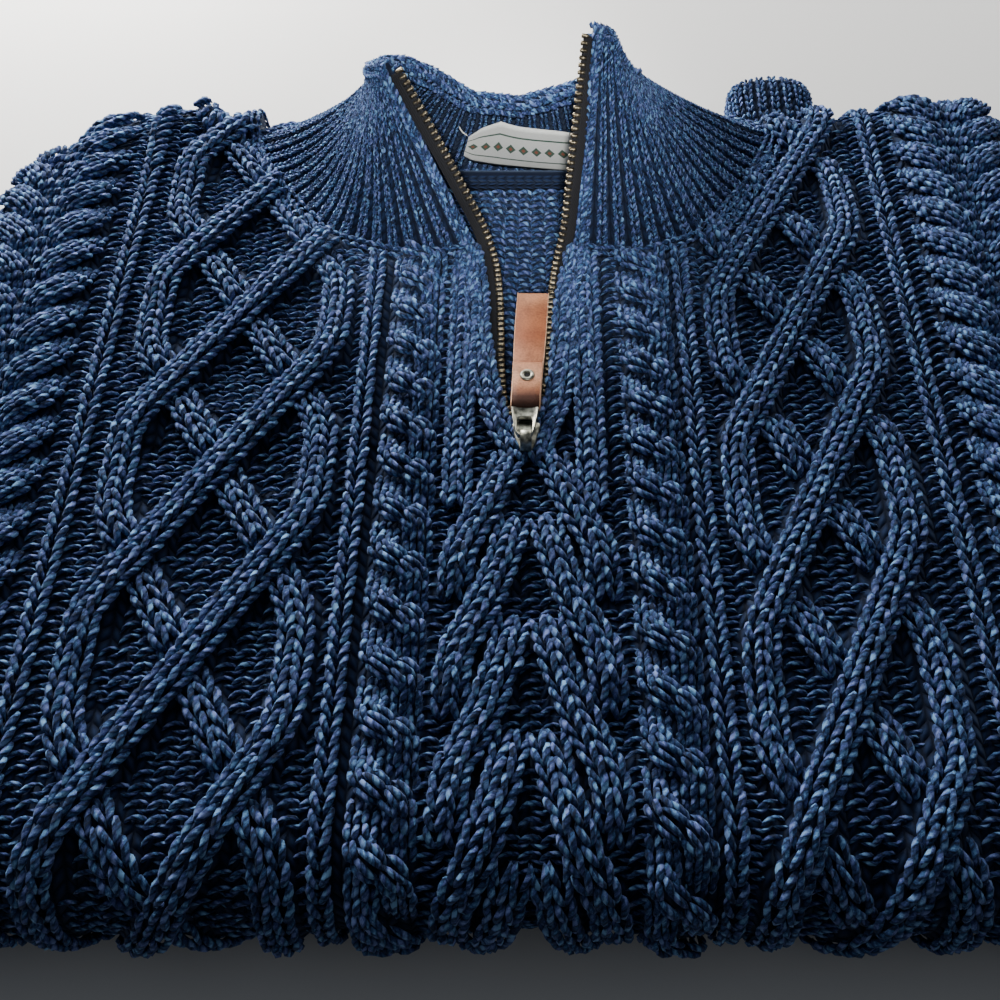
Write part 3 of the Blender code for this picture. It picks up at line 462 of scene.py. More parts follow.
class Shape:
    """Points and faces in millimetres, gathered for one mesh."""

    JOIN = 0.002  # points nearer than this are joined in a skin

    def __init__(self) -> None:
        """Starts empty."""
        self.points: list[Array] = []
        self.triangles: list[Array] = []
        self.uvs: list[Array] = []
        self.count = 0

    def add(self, points: Array, triangles: Array, uvs: Array) -> None:
        """Adds points and the triangles between them.

        Args:
            points: N x 3 places.
            triangles: T x 3 numbers into points.
            uvs: T x 3 x 2 UV coordinates.
        """
        self.points.append(points.reshape(-1, 3))
        self.triangles.append(triangles + self.count)
        self.uvs.append(uvs)
        self.count += len(self.points[-1])

    def grid(self, points: Array, uv: Array | None = None, flip: bool = False) -> Array:
        """Adds a grid of points as a sheet.

        Args:
            points: rows x columns x 3 places.
            uv: rows x columns x 2 UV coordinates, if its finish reads them.
            flip: turns the faces over.

        Returns:
            The numbers of the points within this shape.
        """
        rows, columns = points.shape[:2]
        numbers = np.arange(rows * columns).reshape(rows, columns)
        start = self.count
        lower, upper = numbers[:-1], numbers[1:]
        a, b, c, d = lower[:, :-1], lower[:, 1:], upper[:, 1:], upper[:, :-1]
        order = ((a, c, b), (a, d, c)) if flip else ((a, b, c), (a, c, d))
        triangles = np.concatenate([np.stack(corners, axis=-1).reshape(-1, 3) for corners in order])
        uv = np.zeros((rows * columns, 2)) if uv is None else uv.reshape(-1, 2)
        self.add(points, triangles, uv[triangles])
        return numbers + start

    def faces(self, triangles: Array) -> None:
        """Adds triangles between points that are already in the shape."""
        self.triangles.append(triangles)
        self.uvs.append(np.zeros((len(triangles), 3, 2)))

    def strip(self, first: Array, second: Array) -> None:
        """Joins two rows of points that are already in the shape."""
        a, b, c, d = first[:-1], first[1:], second[1:], second[:-1]
        self.faces(np.concatenate((together(a, b, c), together(a, c, d))))

    def edges(self, outer: Array, inner: Array) -> None:
        """Joins the four edges of two grids that lie back to back.

        Args:
            outer: point numbers of the outer grid.
            inner: point numbers of the inner grid.
        """
        ends = ((outer[0], inner[0]), (inner[-1], outer[-1]))
        for first, second in (*ends, (inner[:, 0], outer[:, 0]), (outer[:, -1], inner[:, -1])):
            self.strip(second, first)

    def cap(self, ring: Array, turned: bool) -> None:
        """Closes a ring of points with a fan of triangles."""
        hub, a, b = np.full(len(ring) - 2, ring[0]), ring[1:-1], ring[2:]
        self.faces(np.stack((hub, a, b) if turned else (hub, b, a), axis=-1))

    def rod(self, lines: Array, uv: Array | None = None, flip: bool = False) -> None:
        """Adds a closed rod.

        Args:
            lines: the lines along it, one for each corner of its section, the first one twice.
            uv: UV coordinates of its points, if its finish reads them.
            flip: turns the faces over.
        """
        numbers = self.grid(lines, uv, flip)
        self.cap(numbers[:-1, 0], flip)
        self.cap(numbers[:-1, -1], not flip)

    def build(self, name: str, finish: Finish, body: Body = Body.GARMENT) -> Piece:
        """Makes the piece.

        Args:
            name: the piece's name.
            finish: what it is made of.
            body: what it rides on.

        Returns:
            The piece.
        """
        points = (np.concatenate(self.points) - CENTRE) * MM
        triangles = np.concatenate(self.triangles)
        mesh = bpy.data.meshes.new(name)
        mesh.vertices.add(len(points))
        mesh.vertices.foreach_set("co", points.ravel())
        mesh.loops.add(triangles.size)
        mesh.loops.foreach_set("vertex_index", triangles.ravel().astype(np.int32))
        mesh.polygons.add(len(triangles))
        mesh.polygons.foreach_set("loop_start", np.arange(0, triangles.size, 3, dtype=np.int32))
        layer = mesh.uv_layers.new(name="UVMap")
        layer.data.foreach_set("uv", np.concatenate(self.uvs).ravel().astype(np.float32))
        mesh.polygons.foreach_set("use_smooth", np.ones(len(triangles), dtype=bool))
        mesh.update(calc_edges=True)
        mesh.validate()
        mesh.materials.append(finish.material)
        piece = bpy.data.objects.new(name, mesh)
        bpy.context.scene.collection.objects.link(piece)
        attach(piece, body.value)
        log.info("%s: %d triangles", name, len(mesh.polygons))
        return piece

    def skin(self, name: str, finish: Finish, body: Body = Body.GARMENT) -> Piece:
        """Makes the piece with its meeting points joined and without faces that end up inside.

        Args:
            name: the piece's name.
            finish: what it is made of.
            body: what it rides on.

        Returns:
            The piece.
        """
        piece = self.build(name, finish, body)
        mesh = bmesh.new()
        mesh.from_mesh(piece.data)
        bmesh.ops.remove_doubles(mesh, verts=mesh.verts, dist=self.JOIN * MM)
        seen: dict[tuple[int, ...], bmesh.types.BMFace] = {}
        doubled = []
        for face in mesh.faces:
            key = tuple(sorted(vertex.index for vertex in face.verts))
            if key in seen:
                doubled += [face, seen[key]]
            seen[key] = face
        bmesh.ops.delete(mesh, geom=list(set(doubled)), context="FACES_ONLY")
        bmesh.ops.recalc_face_normals(mesh, faces=mesh.faces)
        mesh.to_mesh(piece.data)
        mesh.free()
        return piece


@dataclass(frozen=True)
class Spindle:
    """A short run of yarn in a stitch: shares of the stitch's width and length, and heights."""

    across: tuple[float, ...]
    along: tuple[float, ...]
    height: tuple[float, ...]  # shares of the yarn's radius
    radius: tuple[float, ...]  # shares of the yarn's radius, 0 at both ends


KNIT_LEG = Spindle(
    across=(0.03, 0.14, 0.26, 0.345, 0.365, 0.27),
    along=(-0.82, -0.48, -0.11, 0.27, 0.60, 0.90),
    height=(-1.0, 0.05, 0.42, 0.32, -0.20, -1.2),
    radius=(0.0, 0.80, 1.0, 1.0, 0.80, 0.0),
)
FINE_LEG = Spindle(
    across=(0.03, 0.20, 0.345, 0.365, 0.27),
    along=(-0.74, -0.28, 0.12, 0.50, 0.80),
    height=(-1.0, 0.25, 0.40, -0.15, -1.2),
    radius=(0.0, 0.92, 1.0, 0.82, 0.0),
)
CABLE_LEG = Spindle(
    across=(0.10, 0.23, 0.29, 0.30, 0.24),
    along=(-0.90, -0.33, 0.14, 0.57, 0.98),
    height=(-1.1, 0.25, 0.42, 0.0, -1.3),
    radius=(0.0, 0.94, 1.0, 0.88, 0.0),
)
PURL_HEAD = Spindle(
    across=(-0.66, -0.40, -0.13, 0.15, 0.42, 0.66),
    along=(-0.26, -0.03, 0.12, 0.13, 0.03, -0.20),
    height=(-1.0, 0.10, 0.55, 0.55, 0.10, -1.0),
    radius=(0.0, 0.85, 1.0, 1.0, 0.85, 0.0),
)
PURL_FOOT = Spindle(
    across=(-0.12, 0.22, 0.50, 0.78, 1.12),
    along=(-0.22, -0.44, -0.55, -0.46, -0.22),
    height=(-1.2, -0.3, 0.1, -0.3, -1.2),
    radius=(0.0, 0.80, 0.9, 0.80, 0.0),
)


@dataclass
class Stitches:
    """Places and frames of many stitches. One size may be given for all of them."""

    place: Array  # N x 3, the middle of each stitch
    across: Array  # N x 3, unit vector over its width
    along: Array  # N x 3, unit vector up its wale
    width: Array | float
    length: Array | float
    yarn: Array | float  # radius

    def __post_init__(self) -> None:
        """Gives each stitch its own sizes."""
        for name in ("width", "length", "yarn"):
            setattr(self, name, np.broadcast_to(np.asarray(getattr(self, name), float), len(self.place)))

    @staticmethod
    def join(sets: Iterable["Stitches"]) -> "Stitches":
        """All the stitches of several sets."""
        return Stitches(*(np.concatenate(parts) for parts in zip(*(vars(one).values() for one in sets))))

    def keep(self, wanted: Array) -> "Stitches":
        """The stitches that are wanted."""
        return Stitches(*(values[wanted] for values in vars(self).values()))

    def shaken(self, rng: np.random.Generator, amount: float = 1.0) -> "Stitches":
        """The stitches with small differences from one to the next.

        Args:
            rng: the source of chance.
            amount: how large the differences are.

        Returns:
            The new stitches.
        """
        count = len(self.width)
        normal = unit(np.cross(self.across, self.along))
        turn = rng.normal(0.0, 0.055 * amount, count)[:, None]
        across = self.across * np.cos(turn) + self.along * np.sin(turn)
        along = self.along * np.cos(turn) - self.across * np.sin(turn)
        shift = rng.normal(0.0, 0.16 * amount, (count, 3))
        place = self.place + self.across * shift[:, :1] + self.along * shift[:, 1:2] + normal * shift[:, 2:]
        yarn = self.yarn * (1.0 + rng.normal(0.0, 0.06 * amount, count))
        return Stitches(place, across, along, self.width, self.length, yarn)


def spindle_faces(rings: int, sides: int) -> Array:
    """The triangles of a spindle: its two pointed ends and the bands between its rings.

    Args:
        rings: rings between its ends.
        sides: sides round it.

    Returns:
        T x 3 numbers of its points.
    """
    numbers = 1 + np.arange(rings * sides).reshape(rings, sides)
    after = np.roll(numbers, -1, axis=1)
    tip = rings * sides + 1
    start = together(np.zeros(sides, int), after[0], numbers[0])
    end = together(np.full(sides, tip), numbers[-1], after[-1])
    lower, lower_after = numbers[:-1].ravel(), after[:-1].ravel()
    upper, upper_after = numbers[1:].ravel(), after[1:].ravel()
    first = together(lower, lower_after, upper_after)
    second = together(lower, upper_after, upper)
    return np.concatenate((start, end, first, second))


class Yarn(Shape):
    """Many spindles of yarn as one mesh, whose UV map runs along and around them."""

    def __init__(self, seed: int, sides: int = 5) -> None:
        """Starts empty.

        Args:
            seed: fixes the yarn's chance differences.
            sides: sides round a spindle.
        """
        super().__init__()
        self.rng = np.random.default_rng(seed)
        self.sides = sides

    def lay(self, lines: Array, normals: Array, radii: Array, sides: int | None = None) -> None:
        """Adds a spindle along each line.

        Args:
            lines: N x K x 3 middle lines.
            normals: N x 3 directions out of the cloth.
            radii: N x K radii; only the inner ones are used, as both ends are pointed.
            sides: sides round a spindle, if not the mesh's own number.
        """
        sides = sides or self.sides
        count, stations = lines.shape[:2]
        tangent = unit(np.gradient(lines, axis=1))
        normals = normals[:, None, :]
        up = unit(normals - tangent * np.sum(tangent * normals, axis=-1, keepdims=True))
        side = np.cross(tangent, up)
        angle = np.linspace(0.0, 2 * math.pi, sides, endpoint=False) + math.pi / 2
        ring = (
            side[:, 1:-1, None, :] * np.cos(angle)[None, None, :, None]
            + up[:, 1:-1, None, :] * np.sin(angle)[None, None, :, None]
        )
        ring = lines[:, 1:-1, None, :] + ring * radii[:, 1:-1, None, None]
        rings = stations - 2
        points = np.concatenate((lines[:, :1], ring.reshape(count, rings * sides, 3), lines[:, -1:]), axis=1)
        one = spindle_faces(rings, sides)
        triangles = (one[None] + (np.arange(count) * (rings * sides + 2))[:, None, None]).reshape(-1, 3)
        self.add(points, triangles, self.corners(lines, rings, sides))

    def corners(self, lines: Array, rings: int, sides: int) -> Array:
        """UV corners of the spindles' triangles, in millimetres along and in turns around.

        Args:
            lines: N x K x 3 middle lines.
            rings: rings between a spindle's ends.
            sides: sides round it.

        Returns:
            T x 3 x 2 coordinates.
        """
        count = len(lines)
        step = np.linalg.norm(np.diff(lines, axis=1), axis=-1)
        along = np.concatenate((np.zeros((count, 1)), np.cumsum(step, axis=1)), axis=1)
        along = along + self.rng.uniform(0.0, 900.0, (count, 1))
        here = np.arange(sides) / sides
        there = here + 1.0 / sides
        middle = (here + there) / 2

        def corner(station: Array, around: Array) -> Array:
            """One corner of the same number of triangles in each spindle."""
            return np.stack((along[:, station], np.broadcast_to(around, (count, len(around)))), axis=-1)

        zero, last = np.zeros(sides, int), np.full(sides, rings + 1)
        one, final = np.ones(sides, int), np.full(sides, rings)
        low = np.repeat(np.arange(1, rings), sides)
        high = low + 1
        left, right = np.tile(here, rings - 1), np.tile(there, rings - 1)
        parts = [
            (corner(zero, middle), corner(one, there), corner(one, here)),
            (corner(last, middle), corner(final, here), corner(final, there)),
            (corner(low, left), corner(low, right), corner(high, right)),
            (corner(low, left), corner(high, right), corner(high, left)),
        ]
        stacked = np.concatenate([np.stack(part, axis=2) for part in parts], axis=1)
        return stacked.reshape(-1, 3, 2)

    def spindles(
        self, stitches: Stitches, form: Spindle, mirror: bool = False, sides: int | None = None
    ) -> None:
        """Adds one spindle of a form to each stitch.

        Args:
            stitches: where the stitches are.
            form: the spindle's form.
            mirror: turns left and right over.
            sides: sides round a spindle, if not the mesh's own number.
        """
        normal = unit(np.cross(stitches.across, stitches.along))
        lines = stitches.place[:, None, :]
        for axis, shares, sizes in (
            (stitches.across, form.across, stitches.width * (-1.0 if mirror else 1.0)),
            (stitches.along, form.along, stitches.length),
            (normal, form.height, stitches.yarn),
        ):
            lines = lines + axis[:, None, :] * (np.array(shares)[None, :, None] * sizes[:, None, None])
        self.lay(lines, normal, np.array(form.radius)[None, :] * stitches.yarn[:, None], sides)

    def knit(self, stitches: Stitches, form: Spindle = KNIT_LEG, shake: float = 1.0) -> None:
        """Adds knit stitches, two legs each.

        Args:
            stitches: where the stitches are.
            form: the form of a right leg.
            shake: how much they differ.
        """
        for mirror in (False, True):
            self.spindles(stitches.shaken(self.rng, shake), form, mirror)

    def purl(self, stitches: Stitches, feet: bool = True) -> None:
        """Adds purl stitches: a head, and a foot towards the next stitch.

        Args:
            stitches: where the stitches are.
            feet: whether the feet are drawn too.
        """
        loose = stitches.shaken(self.rng, 1.2)
        self.spindles(loose, PURL_HEAD)
        if feet:
            self.spindles(loose, PURL_FOOT, sides=4)


# ---- How the front panel lies and what is knitted into it ----


@dataclass(frozen=True)
class Drape:
    """The front panel's way over the folded body, the same as in the solids."""

    side_flat: float = 187.0
    roll: float = 13.0
    front_flat: float = -120.5
    front_roll: float = 25.0
    rear_flat: float = 142.0
    sleeve_lift: Triple = (5.0, 165.0, 30.0)
    neck_dip: Triple = (5.0, 80.0, 45.0)
    corner_start: float = 92.0
    corner_left: float = 34.0
    corner_right: float = 9.0

    @property
    def top(self) -> float:
        """Height of the upper face."""
        return 2 * self.front_roll

    def cloth_height(self, x: Array, y: Array) -> Array:
        """Height of the upper face at places of the body.

        Args:
            x: across the body.
            y: along the body.

        Returns:
            The heights.
        """
        lift, at, spread = self.sleeve_lift
        sleeves = lift * np.exp(-(((np.abs(x) - at) / spread) ** 2))
        sleeves = sleeves * (0.35 + 0.65 * blend(y, -60.0, 150.0))
        dip, wide, long = self.neck_dip
        neck = dip * np.exp(-(((x + 7.0) / wide) ** 2) - ((y - 132.0) / long) ** 2)
        return self.top + sleeves - neck

    def come_in(self, u: Array, v: Array) -> Array:
        """How far the cloth comes in at its rear corners.

        Args:
            u: across the cloth.
            v: along the cloth.

        Returns:
            The distances, towards the middle.
        """
        corner = np.where(u < 0, self.corner_left, self.corner_right)
        rear = np.clip((v - self.corner_start) / (self.rear_flat - self.corner_start), 0.0, 1.15)
        return np.sign(u) * corner * rear**2 * blend(np.abs(u), 100.0, 90.0)

    def __call__(self, u: Array, v: Array, out: Array | float) -> Array:
        """Places of points of the cloth.

        Args:
            u: across the cloth.
            v: along the cloth.
            out: above its ground.

        Returns:
            The places, with a last axis of x, y and z.
        """
        u, v, out = np.broadcast_arrays(*(np.asarray(values, float) for values in (u, v, out)))
        side = np.sign(u)
        side_turn = np.clip((np.abs(u) - self.side_flat) / self.roll, 0.0, None)
        rear_turn = np.clip((v - self.rear_flat) / self.roll, 0.0, None)
        front_turn = np.clip((self.front_flat - v) / self.front_roll, 0.0, math.pi)
        beyond = np.clip(self.front_flat - math.pi * self.front_roll - v, 0.0, None)
        turn = np.maximum(side_turn, rear_turn)
        small = np.minimum(side_turn, rear_turn) / np.maximum(turn, 1e-9)
        quarter = math.pi / 4
        heading = np.where(side_turn >= rear_turn, small * quarter, math.pi / 2 - small * quarter)
        heading = np.where(turn > 0, heading, 0.0)
        reach = (self.roll + out) * np.sin(turn)
        drop = self.roll - (self.roll + out) * np.cos(turn)
        x_plain = side * (np.minimum(np.abs(u), self.side_flat) + reach * np.cos(heading))
        x = x_plain - self.come_in(u, v)
        y_flat = np.clip(v, self.front_flat, self.rear_flat)
        lift = (self.cloth_height(x_plain, y_flat) - self.top) * (1 + np.cos(front_turn)) / 2
        radius = self.front_roll + lift - drop
        y = y_flat + reach * np.sin(heading) - radius * np.sin(front_turn) + beyond
        z = self.top - self.front_roll + radius * np.cos(front_turn)
        return together(x, y, z)


class Lean(Enum):
    """Which way the visible strand of a cable runs as it comes towards the waist."""

    RIGHT = 1
    LEFT = -1


@dataclass(frozen=True)
class Lattice:
    """Four strands of two wales that cross and turn back at their panel's edges."""

    first: float
    last: float
    shift: float
    strands: int = 4
    repeat: float = 16.0
    bounce: float = 5.0
    over: float = 5.3
    under: float = 3.6
    wale: float = 5.4

    def slot(self, rows: Array, strand: int) -> tuple[Array, Array]:
        """Where a strand is, and whether it lies on top.

        Args:
            rows: rows of the chart.
            strand: the strand's number.

        Returns:
            Its slot from 0 to the number of strands less 1, and its share on top.
        """
        period = self.strands * self.repeat
        fine = np.linspace(-3.0, 3.0, 13)
        weight = np.exp(-((fine / 1.7) ** 2))
        weight /= weight.sum()
        turn = (rows - self.shift - self.bounce + 60.0 + strand * self.repeat) % period
        slots = sum(
            w * np.interp((turn + f) % period, (0, 24, 32, 56, 64), (3, 0, 0, 3, 3))
            for w, f in zip(weight, fine)
        )
        on_top = 1 - blend(turn, 24.0, 5.0) + blend(turn, 58.0, 6.0)
        return slots, np.clip(on_top, 0.0, 1.0)

    def middle(self, rows: Array, strand: int) -> Array:
        """Distance of a strand's middle from the centre line."""
        spacing = (self.last - self.first) / (self.strands - 1)
        return self.first + (0.12 + self.slot(rows, strand)[0] * 0.92) * spacing


@dataclass(frozen=True)
class Rope:
    """Two strands that cross every few rows, each time with the same one way on top."""

    middle: float
    half: float
    lean: Lean
    shift: float
    wales: int = 2
    rows: float = 4.0
    crest: float = 5.6
    slant: float = 2.4  # how suddenly the strands cross


@dataclass(frozen=True)
class Chart:
    """Rows of the front panel and the cables in them."""

    row_zero: float = 66.2
    row_pitch: float = 3.74
    row_growth: float = 0.0058
    wale: float = 5.7
    lattices: tuple[Lattice, ...] = (Lattice(-130.0, -63.5, 0.0), Lattice(62.5, 116.0, 2.0))
    ropes: tuple[Rope, ...] = (
        Rope(-38.5, 8.9, Lean.RIGHT, 1.4),
        Rope(39.0, 8.9, Lean.RIGHT, 3.4),
        Rope(-162.0, 11.0, Lean.LEFT, 0.0, 3, slant=1.05),
        Rope(-184.0, 11.0, Lean.RIGHT, 0.0, 3, slant=1.05),
        Rope(149.0, 11.0, Lean.RIGHT, 2.0, 3, slant=1.05),
        Rope(171.0, 11.0, Lean.LEFT, 2.0, 3, slant=1.05),
    )
    ribs: tuple[float, ...] = (-203.0, -141.5, -54.0, 53.0, 129.5, 190.0, 205.0)
    chevron_first: float = 18.0
    chevron_step: float = 8.0
    chevron_path: Pairs = (
        # rows since an arm's start, and its distance from the centre line
        (0.0, 4.9), (3.0, 7.8), (6.0, 12.2), (8.0, 16.2), (10.0, 20.4), (12.0, 21.8), (16.0, 22.0),
    )
    chevron_rows: float = 14.0
    slider_row: float = 20.5
    chevron_crest: float = 4.4

    def row_of(self, v: Array) -> Array:
        """The chart's row at a distance along the cloth."""
        root = np.sqrt(self.row_pitch**2 + 4 * self.row_growth * (self.row_zero - v))
        return (root - self.row_pitch) / (2 * self.row_growth)

    def cloth_at(self, rows: Array) -> Array:
        """The distance along the cloth at the chart's rows."""
        rows = np.asarray(rows, float)
        return self.row_zero - self.row_pitch * rows - self.row_growth * rows**2


@dataclass
class Strand:
    """The middle line of a strand in cloth space, one point to a stitch."""

    u: Array
    v: Array
    crest: Array  # height of the yarn in its middle wales
    wales: int
    wale: float
    yarn: float = 1.02
    round: float = 6.6  # half width of its round back
    shown: Array | None = None


class Neckline:
    """The front panel's open edges: the neck and the slit."""

    FRONT = (
        (-74.6, 84.755), (-60.0, 79.0), (-47.0, 76.8), (-30.0, 77.3), (-19.5, 79.5),
        (16.0, 79.5), (25.0, 77.5), (39.0, 76.8), (52.0, 79.0), (62.5, 84.755),
    )
    LEFT = (
        (-74.6, 84.755), (-84.0, 95.0), (-92.5, 108.0), (-101.0, 124.0), (-107.0, 140.0), (-109.0, 172.0),
    )
    RIGHT = (
        (62.5, 84.755), (72.0, 97.0), (81.0, 112.0), (89.0, 129.0), (94.0, 145.0), (95.0, 172.0),
    )
    SLIT = (
        (-6.9, 0.0, 0.0), (-3.5, -7.0, 5.0), (4.0, -9.0, 6.6), (10.0, -11.9, 8.1), (22.0, -13.1, 9.3),
        (40.0, -13.7, 10.3), (56.0, -14.3, 11.1), (75.0, -16.7, 13.5), (84.7, -19.5, 16.0),
    )

    WALES = (
        (-10.0, -0.6, -0.4), (-6.9, -1.6, -0.8), (-3.0, -3.8, 0.4), (3.0, -6.0, 2.3), (10.0, -8.2, 4.4),
        (22.0, -10.6, 6.0), (40.0, -13.3, 7.4), (56.0, -14.1, 8.6), (75.0, -16.7, 12.2), (84.7, -19.5, 15.9),
    )

    @classmethod
    def slit(cls, v: Array, wales: bool = False) -> tuple[Array, Array]:
        """The slit's left and right edge at distances along the cloth: of its ground, or of its wales."""
        table = np.array(cls.WALES if wales else cls.SLIT)
        return np.interp(v, table[:, 0], table[:, 1]), np.interp(v, table[:, 0], table[:, 2])

    @classmethod
    def covers(cls, u: Array, v: Array, margin: float = 1.8) -> Array:
        """Whether there is cloth.

        Args:
            u: across the cloth.
            v: along the cloth.
            margin: how far from an open edge still counts as open.

        Returns:
            True where the front panel is.
        """
        front, left, right = np.array(cls.FRONT), np.array(cls.LEFT), np.array(cls.RIGHT)
        slit_left, slit_right = cls.slit(v, wales=True)
        beside = (u < slit_left - margin) | (u > slit_right + margin) | (v < -7.5 - margin)
        below = v < np.interp(u, front[:, 0], front[:, 1]) - margin
        inside = (u > left[0, 0]) & (u < right[0, 0])
        lower = np.where(inside, below & beside, True)
        shoulder_left = u < np.interp(v, left[:, 1], left[:, 0]) - margin
        shoulder_right = u > np.interp(v, right[:, 1], right[:, 0]) + margin
        upper = shoulder_left | shoulder_right
        return np.where(v < left[0, 1], lower, upper)


@dataclass
class FrontPanel:
    """The front: its cloth, and the stitches of its ground, cables and ribs."""

    finishes: Finishes
    drape: Drape
    chart: Chart
    wall: float = 4.0
    first_row: int = -27
    last_row: int = 59
    side_end: float = 219.0  # where the stitches end, round the side folds
    yarn: float = 1.08
    purl_yarn: float = 0.68
    below_yarn: float = 1.9  # from the yarn's middle down to the cloth's face
    rope_back: float = 4.0  # height of the cloth's round backs under ropes and arms, ribs and bands
    rib_back: float = 2.2
    band_back: float = 2.4
    seam_rows: tuple[float, ...] = (-0.4, 2.6, 5.8)  # from the shoulder's edge
    seam_step: float = 2.7

    def laid(self, u: Array, v: Array) -> Array:
        """Where the chart's wales lie on the cloth, as they run straight on where the cloth comes in.

        Args:
            u: where the wales are in the chart.
            v: along the cloth.

        Returns:
            Their places across the cloth.
        """
        cloth_u = np.asarray(u, float)
        for _ in range(14):
            cloth_u = u + self.drape.come_in(cloth_u, v)
        return cloth_u

    # -- cloth --

    def lattice_relief(self, u: Array, row: Array, lattice: Lattice) -> Array:
        """How far a lattice stands out of the ground.

        Args:
            u: across the chart.
            row: rows of the chart.
            lattice: the lattice.

        Returns:
            The heights.
        """
        height = np.zeros_like(u)
        for strand in range(lattice.strands):
            _, on_top = lattice.slot(row, strand)
            crest = lattice.under + (lattice.over - lattice.under) * on_top
            height = np.maximum(height, crest * dome(np.abs(u - lattice.middle(row, strand)) / 7.6))
        return height

    def relief(self, u: Array, v: Array) -> Array:
        """How far the knit stands out of the ground.

        Args:
            u: across the chart.
            v: along the cloth.

        Returns:
            The heights.
        """
        row = self.chart.row_of(v)
        beside_zip = 1 - blend(row, 20.0, 4.0)
        left, right = Neckline.slit(v, wales=True)
        # each round back: its crest, its middle, its half width and where it shows
        backs = [(self.rope_back, rope.middle, rope.half + 1.2, 1.0) for rope in self.chart.ropes]
        backs += [(self.rib_back, rib, 4.0, 1.0) for rib in self.chart.ribs]
        for side, start in self.arms():
            _, reach, shown = self.arm_line(start, row)
            backs.append((self.rope_back, side * reach, 6.8, shown))
        backs += [(self.band_back, inner, 6.0, beside_zip) for inner in (left - 5.5, right + 5.5)]
        backs += [(self.band_back, outer, 5.6, beside_zip) for outer in (-22.5, 19.0)]
        height = np.zeros_like(u)
        for lattice in self.chart.lattices:
            height = np.maximum(height, self.lattice_relief(u, row, lattice))
        for crest, middle, half, shown in backs:
            height = np.maximum(height, crest * dome(np.abs(u - middle) / half) * shown)
        return height

    def arms(self) -> list[tuple[int, float]]:
        """Side and first row of each chevron arm.

        Returns:
            -1 or 1, and a row of the chart, for each arm.
        """
        first, step = self.chart.chevron_first, self.chart.chevron_step
        return [(side, first + number * step) for side in (-1, 1) for number in range(6)]

    def arm_line(self, start: float, rows: Array) -> tuple[Array, Array, Array]:
        """A chevron arm.

        Args:
            start: its first row.
            rows: rows of the chart.

        Returns:
            Rows since its start, its distance from the centre line, and whether it shows.
        """
        since = rows - start
        reach = np.interp(since, *np.array(self.chart.chevron_path).T)
        shown = blend(since, -1.0, 2.0) * (1 - blend(since, self.chart.chevron_rows - 0.5, 1.5))
        shown = shown * (rows > self.chart.slider_row - 1.0)
        return since, reach, shown

    def shell(self) -> Piece:
        """The cloth behind the stitches, a closed thin wall.

        Returns:
            The piece.
        """
        shape = Shape()
        for u, v in self.blocks():
            middle = 1.6 * blend(29.0 - np.abs(u), 0.0, 6.0)
            relief = self.relief(u - self.drape.come_in(u, v), v)
            lift = np.clip(relief - self.below_yarn - middle, -0.6 - middle, None)
            fade = 1 - blend(self.drape.front_flat - v, 50.0, 20.0)
            uv = together(u, v)
            outer = shape.grid(self.drape(u, v, lift * fade), uv)
            inner = shape.grid(self.drape(u, v, -self.wall + 0.4), uv, flip=True)
            shape.edges(outer, inner)
        return shape.skin("front_cloth", self.finishes.ground)

    def blocks(self) -> list[tuple[Array, Array]]:
        """The parts of the panel round its slit and neck, as grids of u and v.

        Returns:
            A grid of u and a grid of v for each part.
        """
        chart = self.chart
        rows = {
            "folded": chart.cloth_at(np.arange(67, 18, -1)),
            "lower": chart.cloth_at(np.arange(19, -6, -1)),
            "upper": chart.cloth_at(np.arange(-5, -30, -1)),
        }
        left, left_neck = np.linspace(-219.5, -74.6, 46), np.linspace(-74.6, 0.0, 29)
        right_neck, right = np.linspace(0.0, 62.5, 25), np.linspace(62.5, 219.5, 50)
        blocks = [np.meshgrid(columns, rows["folded"]) for columns in (left, left_neck, right_neck, right)]
        blocks += [np.meshgrid(columns, rows["lower"]) for columns in (left, right)]
        lower, front = rows["lower"], np.array(Neckline.FRONT)
        share = ((lower - lower[0]) / (lower[-1] - lower[0]))[:, None]
        for columns, side, keep in ((left_neck, 0, -28.0), (right_neck, 1, 26.0)):
            edge = Neckline.slit(lower)[side][:, None]
            narrowed = keep + (columns - keep) * (edge - keep) / (0.0 - keep)
            u = np.where(np.abs(columns) < abs(keep), narrowed, columns)
            top = np.interp(u[-1], front[:, 0], front[:, 1])
            blocks.append((u, lower[0] + (top - lower[0]) * share))
        for columns, table in ((left, Neckline.LEFT), (right, Neckline.RIGHT)):
            table = np.array(table)
            edge = np.interp(rows["upper"], table[:, 1], table[:, 0])[:, None]
            reach = np.abs(columns)
            near_end = columns[np.argmin(reach)]
            u = columns + (edge - near_end) * (1 - blend(reach, reach.min(), reach.max() - reach.min()))
            blocks.append((u, np.repeat(rows["upper"][:, None], len(columns), axis=1)))
        return blocks

    # -- stitches --

